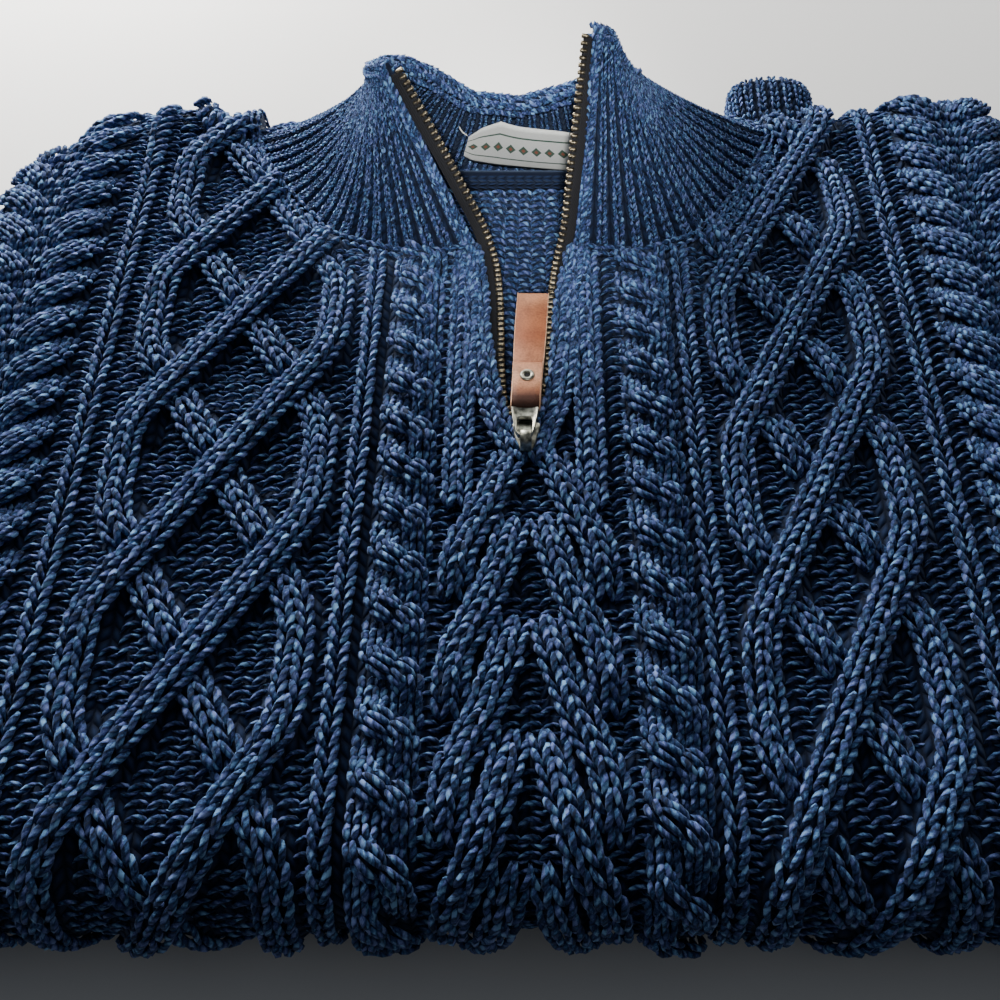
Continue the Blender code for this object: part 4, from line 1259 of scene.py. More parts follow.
    def frames(
        self, u: Array, v: Array, height: Array, toward: tuple[Array, Array], tilt: Array, rise: Array,
        width: float, length: Array, yarn: float,
    ) -> Stitches:
        """Stitches at places of the cloth.

        Args:
            u: across the cloth.
            v: along the cloth.
            height: of the yarn over the ground.
            toward: unit direction up the wale, in u and v.
            tilt: slope of the height over the stitch's width.
            rise: slope of the height up the wale.
            width: of a stitch.
            length: of a stitch.
            yarn: radius.

        Returns:
            The stitches that lie on cloth.
        """
        step = 0.5
        du, dv = toward
        cloth_u = self.laid(u, v)
        near_seam = blend(v, 141.0, 11.0) * blend(cloth_u, -158.0, 12.0) * (cloth_u < 0)
        height = height - near_seam * np.clip(height - 0.8, 0.0, None)
        place = self.drape(cloth_u, v, height)
        along = unit(self.drape(cloth_u + du * step, v + dv * step, height + rise * step) - place)
        across = unit(self.drape(cloth_u + dv * step, v - du * step, height + tilt * step) - place)
        stitches = Stitches(place, across, along, width, length, yarn)
        return stitches.keep(Neckline.covers(u, v) & (np.abs(cloth_u) < self.side_end))

    def strand_stitches(self, strand: Strand) -> Stitches:
        """The stitches of a strand's wales, over its round back.

        Args:
            strand: the strand.

        Returns:
            The stitches.
        """
        slope_u, slope_v = -np.gradient(strand.u), -np.gradient(strand.v)
        length = np.hypot(slope_u, slope_v)
        du, dv = slope_u / length, slope_v / length
        rise = -np.gradient(strand.crest) / length
        shown = np.ones(len(length), bool) if strand.shown is None else strand.shown
        sets = []
        for number in range(strand.wales):
            offset = (number - (strand.wales - 1) / 2) * strand.wale
            share = np.clip(abs(offset) / strand.round, 0.0, 0.93)
            fall = math.sqrt(1 - share**2)
            tilt = -np.sign(offset) * strand.crest * share / fall / strand.round * 1.25
            u, v = strand.u + dv * offset, strand.v - du * offset
            height = strand.crest * fall
            sets.append(self.frames(
                u[shown], v[shown], height[shown], (du[shown], dv[shown]), tilt[shown], rise[shown],
                strand.wale * 1.04, length[shown], strand.yarn,
            ))
        return Stitches.join(sets)

    def lattice_strands(self, lattice: Lattice) -> list[Strand]:
        """The strands of a lattice; those below dip under those on top.

        Args:
            lattice: the lattice.

        Returns:
            The strands.
        """
        rows = np.arange(self.first_row, self.last_row + 1, dtype=float)
        middles = [lattice.middle(rows, number) for number in range(lattice.strands)]
        tops = [lattice.slot(rows, number)[1] for number in range(lattice.strands)]
        strands = []
        for number, (middle, top) in enumerate(zip(middles, tops)):
            gaps = [
                np.abs(middle - other) + 60.0 * (1 - other_top)
                for k, (other, other_top) in enumerate(zip(middles, tops))
                if k != number
            ]
            gap = np.min(gaps, axis=0)
            free = np.maximum(blend(gap, 4.0, 8.0), top)
            crest = (lattice.under + (lattice.over - lattice.under) * top) * free + 0.6 * (1 - free)
            v, shown = self.chart.cloth_at(rows), (gap > 4.5) | (top > 0.5)
            strands.append(Strand(middle, v, crest, 2, lattice.wale, self.yarn, shown=shown))
        return strands

    def rope_strands(self, rope: Rope) -> list[Strand]:
        """The lobes of a rope, each a short strand that comes up, crosses and goes down again.

        Args:
            rope: the rope.

        Returns:
            The strands.
        """
        first = math.floor((self.first_row - rope.shift) / rope.rows) - 1
        last = math.ceil((self.last_row - rope.shift) / rope.rows) + 1
        wale = rope.half / rope.wales * 0.98
        swing = rope.half - wale * rope.wales / 2 + 0.3
        strands = []
        for number in range(first, last):
            t = np.linspace(-0.30, 1.36, 10)
            rows = rope.shift + (number - 0.5 + t) * rope.rows
            turn = np.clip(math.pi * (t - 0.5) * rope.slant, -math.pi / 2, math.pi / 2)
            u = rope.middle + rope.lean.value * swing * np.sin(turn)
            crest = 0.4 + (rope.crest - 0.4) * np.cos(np.clip(t - 0.5, -0.85, 0.85) * math.pi / 1.9) ** 1.6
            shown = (rows > self.first_row) & (rows < self.last_row + 0.5)
            if shown.sum() >= 3:
                v, back = self.chart.cloth_at(rows), wale * rope.wales * 0.60
                strands.append(Strand(u, v, crest, rope.wales, wale, self.yarn * 0.97, back, shown))
        return strands

    def straight(self, us: Sequence[float | Array], crest: float, wale: float, rows: Array) -> list[Strand]:
        """Single wales that run along the cloth.

        Args:
            us: where each one lies, as one number or one for each row.
            crest: height of their yarn.
            wale: width of a stitch.
            rows: their rows.

        Returns:
            The strands.
        """
        v = self.chart.cloth_at(rows)
        full = np.full(len(rows), crest)
        return [Strand(np.broadcast_to(u, rows.shape) * 1.0, v, full, 1, wale, self.yarn) for u in us]

    def arm_strands(self) -> list[Strand]:
        """The arms of the chevrons.

        Returns:
            The strands.
        """
        strands = []
        for side, start in self.arms():
            end = min(start + self.chart.chevron_rows, self.last_row)
            rows = np.arange(max(start, self.chart.slider_row), end + 0.1)
            if len(rows) < 4:
                continue
            reach, v = self.arm_line(start, rows)[1], self.chart.cloth_at(rows)
            low_end, high_end = (np.exp(-((rows - rows[end]) / 1.2) ** 2) for end in (-1, 0))
            crest = self.chart.chevron_crest * (1 - 0.75 * low_end - 0.5 * high_end)
            strands.append(Strand(side * reach, v, crest, 2, 5.3, self.yarn))
        return strands

    def band_strands(self) -> list[Strand]:
        """The wales beside the zip: two along each edge of the slit, and two further out.

        Returns:
            The strands.
        """
        rows = np.arange(-5.0, 25.0)
        left, right = Neckline.slit(self.chart.cloth_at(rows), wales=True)
        inner = rows < 20.5
        strands = []
        for offset in (2.2, 6.5):
            for u in (left - offset, right + offset):
                strands += self.straight([u[inner]], 2.0, 4.3, rows[inner])
        for u in (-25.0, -20.3, 16.8, 21.5):
            strands += self.straight([u], 2.2, 4.7, rows)
        return strands

    def ground_stitches(self, low: float, high: float) -> Stitches:
        """Purl stitches wherever the ground shows between two distances from the centre line.

        Args:
            low: the lower distance.
            high: the higher one.

        Returns:
            The stitches.
        """
        count = int(round((high - low) / self.chart.wale))
        wale = (high - low) / count
        rows = np.arange(self.first_row, self.last_row + 1, dtype=float)
        u, row = np.meshgrid(low + (np.arange(count) + 0.5) * wale, rows)
        v = self.chart.cloth_at(row)
        bare = self.relief(u, v) < 1.5
        u, row, v = u[bare], row[bare], v[bare]
        length = self.chart.row_pitch + 2 * self.chart.row_growth * row
        lean = 0.24 + 0.10 * np.sin(u * 0.11 + row * 0.23)
        toward = (-np.sin(lean), np.cos(lean))
        middle = 1.4 * blend(30.0 - np.abs(u), 0.0, 6.0)
        height = 0.30 + 0.25 * np.sin(u * 0.21 + 1.3) * np.sin(row * 0.31) - middle
        zero = np.zeros(u.shape)
        return self.frames(u, v, height, toward, zero, zero, wale, length, self.purl_yarn)

    def shoulder_seam(self) -> Stitches:
        """The stitches along the shoulders' ends, from the collar's seam over the rear fold.

        Returns:
            The stitches.
        """
        sets = []
        for side, table in ((-1, Neckline.LEFT), (1, Neckline.RIGHT)):
            edge = np.array(table)
            for number, inset in enumerate(self.seam_rows):
                v = np.arange(88.0 + 1.2 * (number % 2), 171.0, self.seam_step)
                u = np.interp(v, edge[:, 1], edge[:, 0]) + side * inset
                relief = self.relief(u - self.drape.come_in(u, v), v)
                out = np.clip(relief - self.below_yarn, -0.2, None) + 0.7
                place = self.drape(u, v, out)
                along = unit(self.drape(u + side * 0.5, v, out) - place)
                across = unit(self.drape(u, v - side * 0.5, out) - place)
                sets.append(Stitches(place, across, along, 4.0, 3.2, 0.85))
        return Stitches.join(sets)

    def build(self) -> None:
        """Makes the panel's pieces."""
        cloth = self.shell()
        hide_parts("front")
        chart = self.chart
        rows = np.arange(self.first_row, self.last_row + 1, dtype=float)
        groups = {
            "lattice_left": self.lattice_strands(chart.lattices[0]),
            "lattice_right": self.lattice_strands(chart.lattices[1]),
            "rope_left": self.rope_strands(chart.ropes[0]),
            "rope_right": self.rope_strands(chart.ropes[1]),
            "side_plait_left": self.rope_strands(chart.ropes[2]) + self.rope_strands(chart.ropes[3]),
            "side_plait_right": self.rope_strands(chart.ropes[4]) + self.rope_strands(chart.ropes[5]),
            "ribs": self.straight(chart.ribs, 2.3, 6.4, rows),
            "chevrons": self.arm_strands(),
            "placket_bands": self.band_strands(),
        }
        yarn = Yarn(160)
        yarn.spindles(self.shoulder_seam().shaken(yarn.rng), PURL_HEAD)
        pieces = [yarn.build("shoulder_seam", self.finishes.yarn)]
        for seed, (name, strands) in enumerate(groups.items()):
            yarn = Yarn(100 + seed)
            form = CABLE_LEG if name.startswith(("rope", "side_plait")) else KNIT_LEG
            for strand in strands:
                yarn.knit(self.strand_stitches(strand), form)
            pieces.append(yarn.build(name, self.finishes.yarn))
        grounds = {
            "ground_left": (-214.0, -32.0), "ground_middle": (-31.0, 31.0), "ground_right": (31.0, 214.0),
        }
        for seed, (name, (low, high)) in enumerate(grounds.items()):
            yarn = Yarn(140 + seed)
            yarn.purl(self.ground_stitches(low, high))
            pieces.append(yarn.build(name, self.finishes.yarn))


# ---- Collar ----


@dataclass
class Collar:
    """The funnel collar in one-by-one rib, open at the front."""

    finishes: Finishes
    wall: float = 5.0
    ribs: int = 66
    rows: int = 31
    stations: tuple[tuple[float, ...], ...] = (
        # seam x, y, z, rim x, y, z, flare: from the left zip edge round the back to the right one
        (-19.8, 81.6, 49.0, -49.5, 112.0, 100.5, 0.0),
        (-31.0, 79.4, 49.5, -51.0, 113.0, 100.0, 0.1),
        (-47.5, 78.8, 49.5, -52.5, 114.5, 98.5, 0.2),
        (-71.5, 87.0, 49.5, -55.0, 118.0, 95.5, 0.5),
        (-91.0, 110.0, 49.5, -56.5, 124.0, 92.5, 0.6),
        (-107.5, 138.0, 49.0, -51.5, 129.5, 91.5, 0.4),
        (-95.0, 149.0, 45.5, -43.0, 130.5, 90.5, 0.1),
        (-66.0, 151.0, 36.0, -33.0, 130.5, 85.5, 0.0),
        (-33.0, 150.0, 29.0, -21.0, 132.0, 75.0, 0.1),
        (-5.0, 149.5, 28.5, -4.0, 132.0, 73.0, 0.0),
        (22.0, 150.0, 29.0, 12.0, 132.0, 78.0, 0.1),
        (54.0, 151.0, 38.0, 24.5, 135.0, 80.5, 0.0),
        (80.0, 149.5, 48.0, 33.5, 135.5, 81.5, 0.1),
        (93.0, 140.0, 50.0, 37.0, 132.5, 84.0, 0.15),
        (80.0, 112.5, 49.5, 34.5, 129.0, 88.5, 0.2),
        (60.0, 86.8, 49.5, 31.0, 126.0, 96.5, 0.15),
        (39.5, 78.8, 49.5, 28.0, 124.0, 105.0, 0.1),
        (16.2, 81.6, 49.0, 22.3, 123.0, 107.5, 0.0),
    )

    def __post_init__(self) -> None:
        """Works out a fine grid of the collar's outer side and its directions."""
        table = np.array(self.stations)
        spans = np.linalg.norm(np.diff(table[:, :3], axis=0), axis=1)
        at = np.concatenate(([0.0], np.cumsum(spans))) / spans.sum()
        self.shares = np.linspace(0.0, 1.0, 397)
        columns = np.stack([np.interp(self.shares, at, table[:, k]) for k in range(7)], axis=-1)
        kernel = np.hanning(11)
        kernel /= kernel.sum()
        before, after = 2 * columns[:1] - columns[5:0:-1], 2 * columns[-1:] - columns[-2:-7:-1]
        padded = np.concatenate((before, columns, after))
        smooth = np.stack([np.convolve(padded[:, k], kernel, "valid") for k in range(7)], axis=-1)
        self.levels = np.linspace(0.0, 1.0, 25)
        seam, rim, flare = smooth[:, None, :3], smooth[:, None, 3:6], smooth[:, None, 6:]
        t = self.levels[None, :, None]
        sideways = 1 - (1 - t) ** (1 + 0.7 * flare)
        level = t ** (1 + 0.9 * flare)
        flat = seam[..., :2] + (rim[..., :2] - seam[..., :2]) * sideways
        high = seam[..., 2:] + (rim[..., 2:] - seam[..., 2:]) * level
        self.surface = np.concatenate((flat, high), axis=-1)
        self.around = unit(np.gradient(self.surface, axis=0))
        self.upward = unit(np.gradient(self.surface, axis=1))
        self.outward = unit(np.cross(self.upward, self.around))

    def read(self, field: Array, share: Array, level: Array) -> Array:
        """Reads a field of the fine grid between its points.

        Args:
            field: one of surface, around, upward and outward.
            share: of the way round, from the left zip edge to the right one.
            level: share of the height, from the seam to the rim.

        Returns:
            The field's vectors there.
        """
        column = np.clip(share, 0.0, 1.0) * (len(self.shares) - 1)
        row = np.clip(level, 0.0, 1.0) * (len(self.levels) - 1)
        c = np.clip(np.floor(column).astype(int), 0, len(self.shares) - 2)
        r = np.clip(np.floor(row).astype(int), 0, len(self.levels) - 2)
        fc, fr = (column - c)[..., None], (row - r)[..., None]
        lower = field[c, r] * (1 - fc) + field[c + 1, r] * fc
        upper = field[c, r + 1] * (1 - fc) + field[c + 1, r + 1] * fc
        return lower * (1 - fr) + upper * fr

    def sample(self, share: Array, level: Array | float) -> tuple[Array, Array, Array, Array]:
        """Places on the collar, and the directions around it, up it and out of it.

        Args:
            share: of the way round.
            level: share of the height.

        Returns:
            Places and three directions, not yet at length 1.
        """
        level = np.broadcast_to(level, share.shape)
        return tuple(
            self.read(field, share, level) for field in (self.surface, self.around, self.upward, self.outward)
        )

    def pitch(self, share: Array, level: Array | float, parts: int) -> Array:
        """The length of one of so many parts of the way round."""
        near, far = (self.sample(share + half / parts, level)[0] for half in (-0.5, 0.5))
        return np.linalg.norm(far - near, axis=-1)

    def shell(self) -> Piece:
        """The collar's cloth, a closed thin wall with soft ribs on both sides.

        Returns:
            The piece.
        """
        shape = Shape()
        share, level = np.meshgrid(self.shares, self.levels, indexing="ij")
        wave = np.cos(2 * math.pi * share * self.ribs + math.pi)
        uv = together(share * self.ribs * 5.7, level * 60.0)
        outer = self.surface + self.outward * (0.75 * wave - 1.2)[..., None]
        inner = self.surface - self.outward * (self.wall - 1.2 + 0.6 * wave)[..., None]
        aside = self.outward[:, 0] * (1.0, 1.0, 0.0)
        rear = blend(self.surface[:, :1, 1], 138.0, 12.0)
        hem = outer[:, 0] + aside * (4.6 - 2.0 * rear) - np.array((0.0, 0.0, 1.0)) * (2.0 + 15.0 * rear)
        inner[:, 0, 2] -= 2.6 + 14.0 * rear[:, 0]
        outer = np.concatenate((hem[:, None], outer), axis=1)
        uv_outer = np.concatenate((uv[:, :1] - (0.0, 5.0), uv), axis=1)
        front = shape.grid(outer.swapaxes(0, 1), uv_outer.swapaxes(0, 1))
        back = shape.grid(inner.swapaxes(0, 1), uv.swapaxes(0, 1), flip=True)
        shape.strip(back[0], front[0])
        shape.strip(front[-1], back[-1])
        for ends, turned in ((0, False), (-1, True)):
            first, second = front[1:, ends], back[:, ends]
            shape.strip(*((second, first) if turned else (first, second)))
            corner = np.array([(front[0, ends], front[1, ends], back[0, ends])])
            shape.faces(corner[:, ::-1] if turned else corner)
        return shape.skin("collar_cloth", self.finishes.ground)

    def rib_stitches(self, inside: bool) -> Stitches:
        """Knit stitches along every rib.

        Args:
            inside: takes the collar's inner side, where the ribs lie between the outer ones.

        Returns:
            The stitches.
        """
        number = np.arange(self.ribs - 1 if inside else self.ribs)
        levels = (np.arange(self.rows) + 0.4) / self.rows * 0.965
        share, level = np.meshgrid((number + (1.0 if inside else 0.5)) / self.ribs, levels)
        share, level = share.ravel(), level.ravel()
        if inside:
            shown = (share > 0.12) & (share < 0.92)
            share, level = share[shown], level[shown]
        place, around, upward, outward = self.sample(share, level)
        outward = unit(outward)
        pitch = self.pitch(share, level, self.ribs)
        seam, rim = (self.sample(share, end)[0] for end in (0.0, 1.0))
        length = np.linalg.norm(rim - seam, axis=-1) / self.rows * 1.03
        depth = -(self.wall + 0.1) if inside else 0.30
        place = place + outward * depth
        across = unit(around - outward * np.sum(around * outward, axis=-1, keepdims=True))
        if inside:
            across = -across
        width = np.clip(pitch * 0.62, 2.0, 4.2)
        return Stitches(place, across, unit(upward), width, length, np.clip(width * 0.19, 0.48, 0.74))

    def edge_stitches(self) -> Stitches:
        """A smooth wale along each front edge, beside the zip.

        Returns:
            The stitches.
        """
        sets = []
        for share in (0.0035, 0.9965):
            level = (np.arange(30) + 0.5) / 30
            place, _, upward, outward = self.sample(np.full(level.shape, share), level)
            along, outward = unit(upward), unit(outward)
            across = unit(np.cross(along, outward))
            sets.append(Stitches(place + outward * 0.2, across, along, 3.4, 2.35, 0.85))
        return Stitches.join(sets)

    def rim_stitches(self) -> Stitches:
        """Three rows of stitches along the rim, over its rounded edge.

        Returns:
            The stitches.
        """
        count = 96
        sets = []
        for row, (depth, up) in enumerate(((0.3, -1.5), (-self.wall / 2, 0.5), (-self.wall - 0.3, -1.5))):
            share = (np.arange(count) + 0.25 + 0.5 * (row % 2)) / count
            place, around, upward, outward = self.sample(share, 1.0)
            outward = unit(outward)
            place = place + outward * depth + unit(upward) * up
            facing = unit(outward * (1 - row) + upward * (0.4 + 0.8 * (row == 1)))
            across = unit(np.cross(around, facing))
            length = self.pitch(share, 1.0, count) * 1.2
            sets.append(Stitches(place, -across, unit(around), 4.6, length, 0.95))
        return Stitches.join(sets)

    def seam_stitches(self) -> Stitches:
        """The stitches of the seam that joins the collar to the front.

        Returns:
            The stitches.
        """
        count = 128
        sets = []
        for row, out in enumerate((0.7, 2.8)):
            place, around, _, outward = self.sample((np.arange(count) + 0.5 * row + 0.25) / count, 0.0)
            around, aside = unit(around), unit(outward * (1.0, 1.0, 0.0))
            place = place + aside * out + (0.0, 0.0, 0.5 - 0.35 * out)
            along = unit(aside * -0.8 + (0.0, 0.0, 0.5))
            across = -unit(np.cross(along, np.cross(around, along)))
            sets.append(Stitches(place, across, along, 3.9, 3.0, 0.8))
        return Stitches.join(sets)

    def build(self, trims: Sequence[Piece]) -> None:
        """Makes the collar's pieces.

        Args:
            trims: pieces made elsewhere that are sewn to it; not used.
        """
        cloth = self.shell()
        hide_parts("collar")
        for seed, (name, inside) in enumerate((("collar_ribs", False), ("collar_inner_ribs", True))):
            yarn = Yarn(200 + seed, sides=4 if inside else 5)
            yarn.knit(self.rib_stitches(inside), FINE_LEG, 0.6)
            yarn.build(name, self.finishes.yarn)
        yarn = Yarn(210)
        yarn.knit(self.edge_stitches(), FINE_LEG, 0.5)
        yarn.knit(self.rim_stitches(), FINE_LEG, 0.8)
        yarn.spindles(self.seam_stitches().shaken(yarn.rng), PURL_HEAD)
        yarn.build("collar_edges", self.finishes.yarn)


# ---- Back, hidden layers and cuff ----


@dataclass
class BackPanel:
    """The back, whose inner side shows in the neck."""

    finishes: Finishes
    half: float = 112.0
    middle: float = -7.0
    front: float = -46.0
    rear: float = 147.0
    high: float = 40.0
    low: float = 26.5
    wall: float = 4.0
    wale: float = 5.3
    row: float = 3.9
    wave: float = 0.145  # turn of the cables' swing for each millimetre across

    def height(self, x: Array, y: Array) -> Array:
        """Height of its inner side, which faces up.

        Args:
            x: across the body.
            y: along the body.

        Returns:
            The heights.
        """
        sink = blend(y, 40.0, 95.0)
        beside = 3.0 * blend(np.abs(x - self.middle), 60.0, 50.0) * (1 - sink)
        return self.high + (self.low - self.high) * sink - beside

    def build(self) -> None:
        """Makes the panel with the purl side of its cables showing in the neck."""
        shape = Shape()
        x, y = np.meshgrid(
            np.linspace(self.middle - self.half, self.middle + self.half, 41),
            np.linspace(self.front, self.rear, 37),
        )
        uv = together(x, y)
        top = self.height(x, y) - 0.9
        bottom = self.height(x, y) - self.wall + 0.3
        upper = shape.grid(together(x, y, top), uv)
        lower = shape.grid(together(x, y, bottom), uv, flip=True)
        shape.edges(upper, lower)
        cloth = shape.skin("back_cloth", self.finishes.ground)
        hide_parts("back")
        x, y = np.meshgrid(np.arange(-92.0, 80.0, self.wale), np.arange(-20.0, 147.5, self.row))
        x, y = x.ravel(), y.ravel()
        raised = 0.8 * np.abs(np.sin(x * self.wave + 0.6)) + 0.3 * np.sin(y * 0.2 + x * 0.1)
        place = together(x, y, self.height(x, y) + raised - 0.6)
        lean = 0.25 * np.sin(x * self.wave)
        across = together(np.cos(lean), np.sin(lean), np.zeros(len(x)))
        along = together(-np.sin(lean), np.cos(lean), np.full(len(x), -0.1))
        yarn = Yarn(300)
        yarn.purl(Stitches(place, across, unit(along), 5.5, 4.0, 0.85), feet=False)
        inside = yarn.build("back_inner_side", self.finishes.yarn)


@dataclass
class FoldedLayers:
    """The layers folded below: their shared outside, with stitches round the edges that show."""

    finishes: Finishes
    drape: Drape
    wall: float = 3.0
    points: int = 240
    rings: tuple[tuple[float, ...], ...] = (
        # z, half width, half width beside the front fold, front y, rear y
        (0.0, 186.0, 178.0, -104.5, 138.0),
        (0.9, 190.5, 180.5, -104.5, 142.8),
        (2.6, 194.0, 182.0, -104.5, 146.5),
        (4.0, 195.6, 182.6, -104.5, 148.2),
        (5.2, 197.0, 183.0, -104.5, 149.5),
        (5.6, 197.3, 183.0, -123.0, 149.8),
        (8.5, 198.8, 183.6, -131.0, 150.8),
        (12.0, 199.5, 184.0, -136.0, 151.0),
        (15.5, 198.8, 184.0, -138.0, 150.6),
        (18.5, 197.0, 184.0, -139.0, 149.5),
        (21.0, 194.0, 183.6, -139.3, 147.0),
        (23.0, 190.0, 183.0, -139.5, 143.0),
        (25.5, 182.0, 181.0, -139.6, 137.0),
        (30.0, 182.0, 181.0, -139.0, 137.0),
        (34.0, 182.0, 181.0, -137.5, 137.0),
    )
    neck_in: tuple[float, float] = (-103.0, 26.0)
    wale: float = 4.9
    stitch: float = 4.3

    def ring(self, sizes: Sequence[float], count: int) -> Array:
        """A rounded outline of the layers.

        Args:
            sizes: a row of rings.
            count: how many points.

        Returns:
            count x 3 places, from the right side round the rear.
        """
        z, half, half_front, front, rear = sizes
        angle = np.linspace(0.0, 2 * math.pi, count, endpoint=False)
        across, along = np.cos(angle), np.sin(angle)
        square = np.maximum(np.abs(across), np.abs(along))
        across, along = across / square, along / square
        rounding = (np.abs(across) ** 7.0 + np.abs(along) ** 7.0) ** (-1 / 7.0)
        across, along = across * rounding, along * rounding
        y = (front + rear) / 2 + along * (rear - front) / 2
        reach = half_front + (half - half_front) * blend(y, *self.neck_in)
        corner = np.where(across < 0, self.drape.corner_left, self.drape.corner_right)
        start, flat = self.drape.corner_start, self.drape.rear_flat
        come_in = corner * np.clip((y - start) / (flat - start), 0.0, 1.0) ** 2
        return together(across * (reach - come_in), y, np.full(count, z))

    def build(self) -> None:
        """Makes the outside and the stitches round it."""
        shape = Shape()
        outer = np.stack([self.ring(sizes, self.points) for sizes in self.rings])
        outer = np.concatenate((outer, outer[:, :1]), axis=1)
        middle = np.array((0.0, 15.0, 0.0))
        inward = outer.copy()
        inward[..., :2] = middle[:2] + (outer[..., :2] - middle[:2]) * 0.975
        inward[..., 2] = np.clip(outer[..., 2], self.wall, None)
        length = np.concatenate(([0.0], np.cumsum(np.linalg.norm(np.diff(outer[8], axis=0), axis=1))))
        high = np.array([sizes[0] for sizes in self.rings])
        uv = np.stack(np.broadcast_arrays(high[:, None] * 1.4, length[None, :]), axis=-1)
        sides = shape.grid(outer, uv)
        back = shape.grid(inward, uv, flip=True)
        shape.strip(sides[-1], back[-1])
        for numbers, level, turned in ((sides[0], 0.0, True), (back[0], self.wall, False)):
            ring = np.concatenate(shape.points)[numbers[:-1]]
            grids = [middle + (ring - middle) * np.array((s, s, 0.0)) for s in (0.75, 0.5, 0.25, 0.02)]
            rows = np.stack([ring * (1, 1, 0)] + [grid * (1, 1, 0) for grid in grids]) + (0.0, 0.0, level)
            rows = np.concatenate((rows, rows[:, :1]), axis=1)
            flat = shape.grid(rows, rows[..., :2].copy(), flip=not turned)
            shape.cap(flat[-1][:-1], turned)
        cloth = shape.skin("folded_layers_cloth", self.finishes.ground)
        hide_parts("folded_layers")
        yarn = Yarn(320)
        yarn.knit(self.band_stitches(), FINE_LEG)
        band = yarn.build("folded_edges_knit", self.finishes.yarn)

    def line(self, level: float) -> Array:
        """A fine outline at a height between the rings."""
        table = np.array(self.rings).T
        return self.ring([level, *(float(np.interp(level, table[0], sizes)) for sizes in table[1:])], 2400)

    def band_stitches(self) -> Stitches:
        """Wales round the sides and the rear, one above the other.

        Returns:
            The stitches.
        """
        sets = []
        for level in (3.0, 8.6, 13.4, 18.0, 22.0):
            line, higher = self.line(level), self.line(level + 0.5)
            travelled = np.cumsum(np.linalg.norm(np.roll(line, -1, axis=0) - line, axis=1))
            at = np.searchsorted(travelled, np.arange(0.0, travelled[-1] - 1.0, self.stitch))
            along = unit(np.roll(line, -6, axis=0) - np.roll(line, 6, axis=0))[at]
            up = unit(higher - line)[at]
            across = unit(np.cross(along, np.cross(up, along)))
            outward = unit(np.cross(along, across))
            stitches = Stitches(line[at] + outward * 0.4, -across, along, self.wale, self.stitch, 1.0)
            sets.append(stitches.keep(line[at, 1] > -112.0))
        return Stitches.join(sets)


@dataclass
class Cuff:
    """The ribbed cuff that shows behind the right shoulder."""

    finishes: Finishes
    x: float = 101.5
    half: float = 17.0
    front: float = 160.0
    rear: float = 185.0
    low: float = 22.0
    high: float = 41.5
    ribs: int = 20
    tucked: float = 8.0
    stations: tuple[Triple, ...] = (
        # share of the length, share of the size, height of the middle
        (0.0, 0.90, -1.5), (0.2, 0.94, -1.2), (0.45, 0.98, -0.6), (0.7, 1.0, 0.0), (0.92, 0.96, 0.4),
        (1.0, 0.84, 0.5),
    )

    def point(self, turn: Array, share: Array, out: Array | float) -> Array:
        """Places on the cuff.

        Args:
            turn: angle round it.
            share: of its length.
            out: over its surface.

        Returns:
            The places.
        """
        table = np.array(self.stations)
        size = np.interp(share, table[:, 0], table[:, 1])
        lift = np.interp(share, table[:, 0], table[:, 2])
        half_z = (self.high - self.low) / 2
        sine = np.sin(turn)
        x = self.x + (self.half * size + out) * np.cos(turn)
        z = (self.low + self.high) / 2 + lift + (half_z * size + out) * np.sign(sine) * np.abs(sine) ** 0.8
        y = self.front - self.tucked * (1 - share) ** 4 + share * (self.rear - self.front)
        return np.stack(np.broadcast_arrays(x, y, z), axis=-1)

    def build(self) -> None:
        """Makes the cuff's two layers and the stitches of its ribs."""
        shape = Shape()
        turn = np.linspace(0.0, 2 * math.pi, 81)
        share = np.array((0.0, 0.1, 0.25, 0.4, 0.55, 0.7, 0.82, 0.92, 1.0))
        turns, shares = np.meshgrid(turn, share)
        wave = 0.4 * np.cos(turns * self.ribs)
        uv = together(turns * 18.0, shares * 25.0)
        outer = shape.grid(self.point(turns, shares, wave - 0.2), uv, flip=True)
        lip = self.point(turns[:1], np.array([[0.97]]), -3.4)
        mouth_y = np.full(lip.shape[:2], self.rear - 4.0)
        inner = together(lip[..., 0], mouth_y, 34.5 + (lip[..., 2] - 34.0) * 0.25)
        deep = inner.copy()
        deep[..., 1] = self.front + 3.0
        near = self.point(turns[:1], np.array([[0.0]]), -3.0)
        rim = shape.grid(np.concatenate((inner, deep, near)), uv[:3], flip=True)
        shape.strip(rim[0], outer[-1])
        shape.strip(outer[0], rim[-1])
        cloth = shape.skin("cuff_cloth", self.finishes.ground)
        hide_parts("cuff")
        number, row = np.meshgrid(np.arange(self.ribs), np.arange(10))
        angle = (number.ravel() * 2 * math.pi) / self.ribs
        level = (row.ravel() + 0.5) / 10.0
        place = self.point(angle, level, 0.7)
        along = unit(self.point(angle, level + 0.05, 0.7) - self.point(angle, level - 0.05, 0.7))
        across = unit(self.point(angle - 0.05, level, 0.7) - self.point(angle + 0.05, level, 0.7))
        yarn = Yarn(340)
        yarn.knit(Stitches(place, across, along, 3.3, 2.6, 0.66), FINE_LEG)
        ribs = yarn.build("cuff_ribs", self.finishes.yarn)


# ---- Zip, pull and label ----


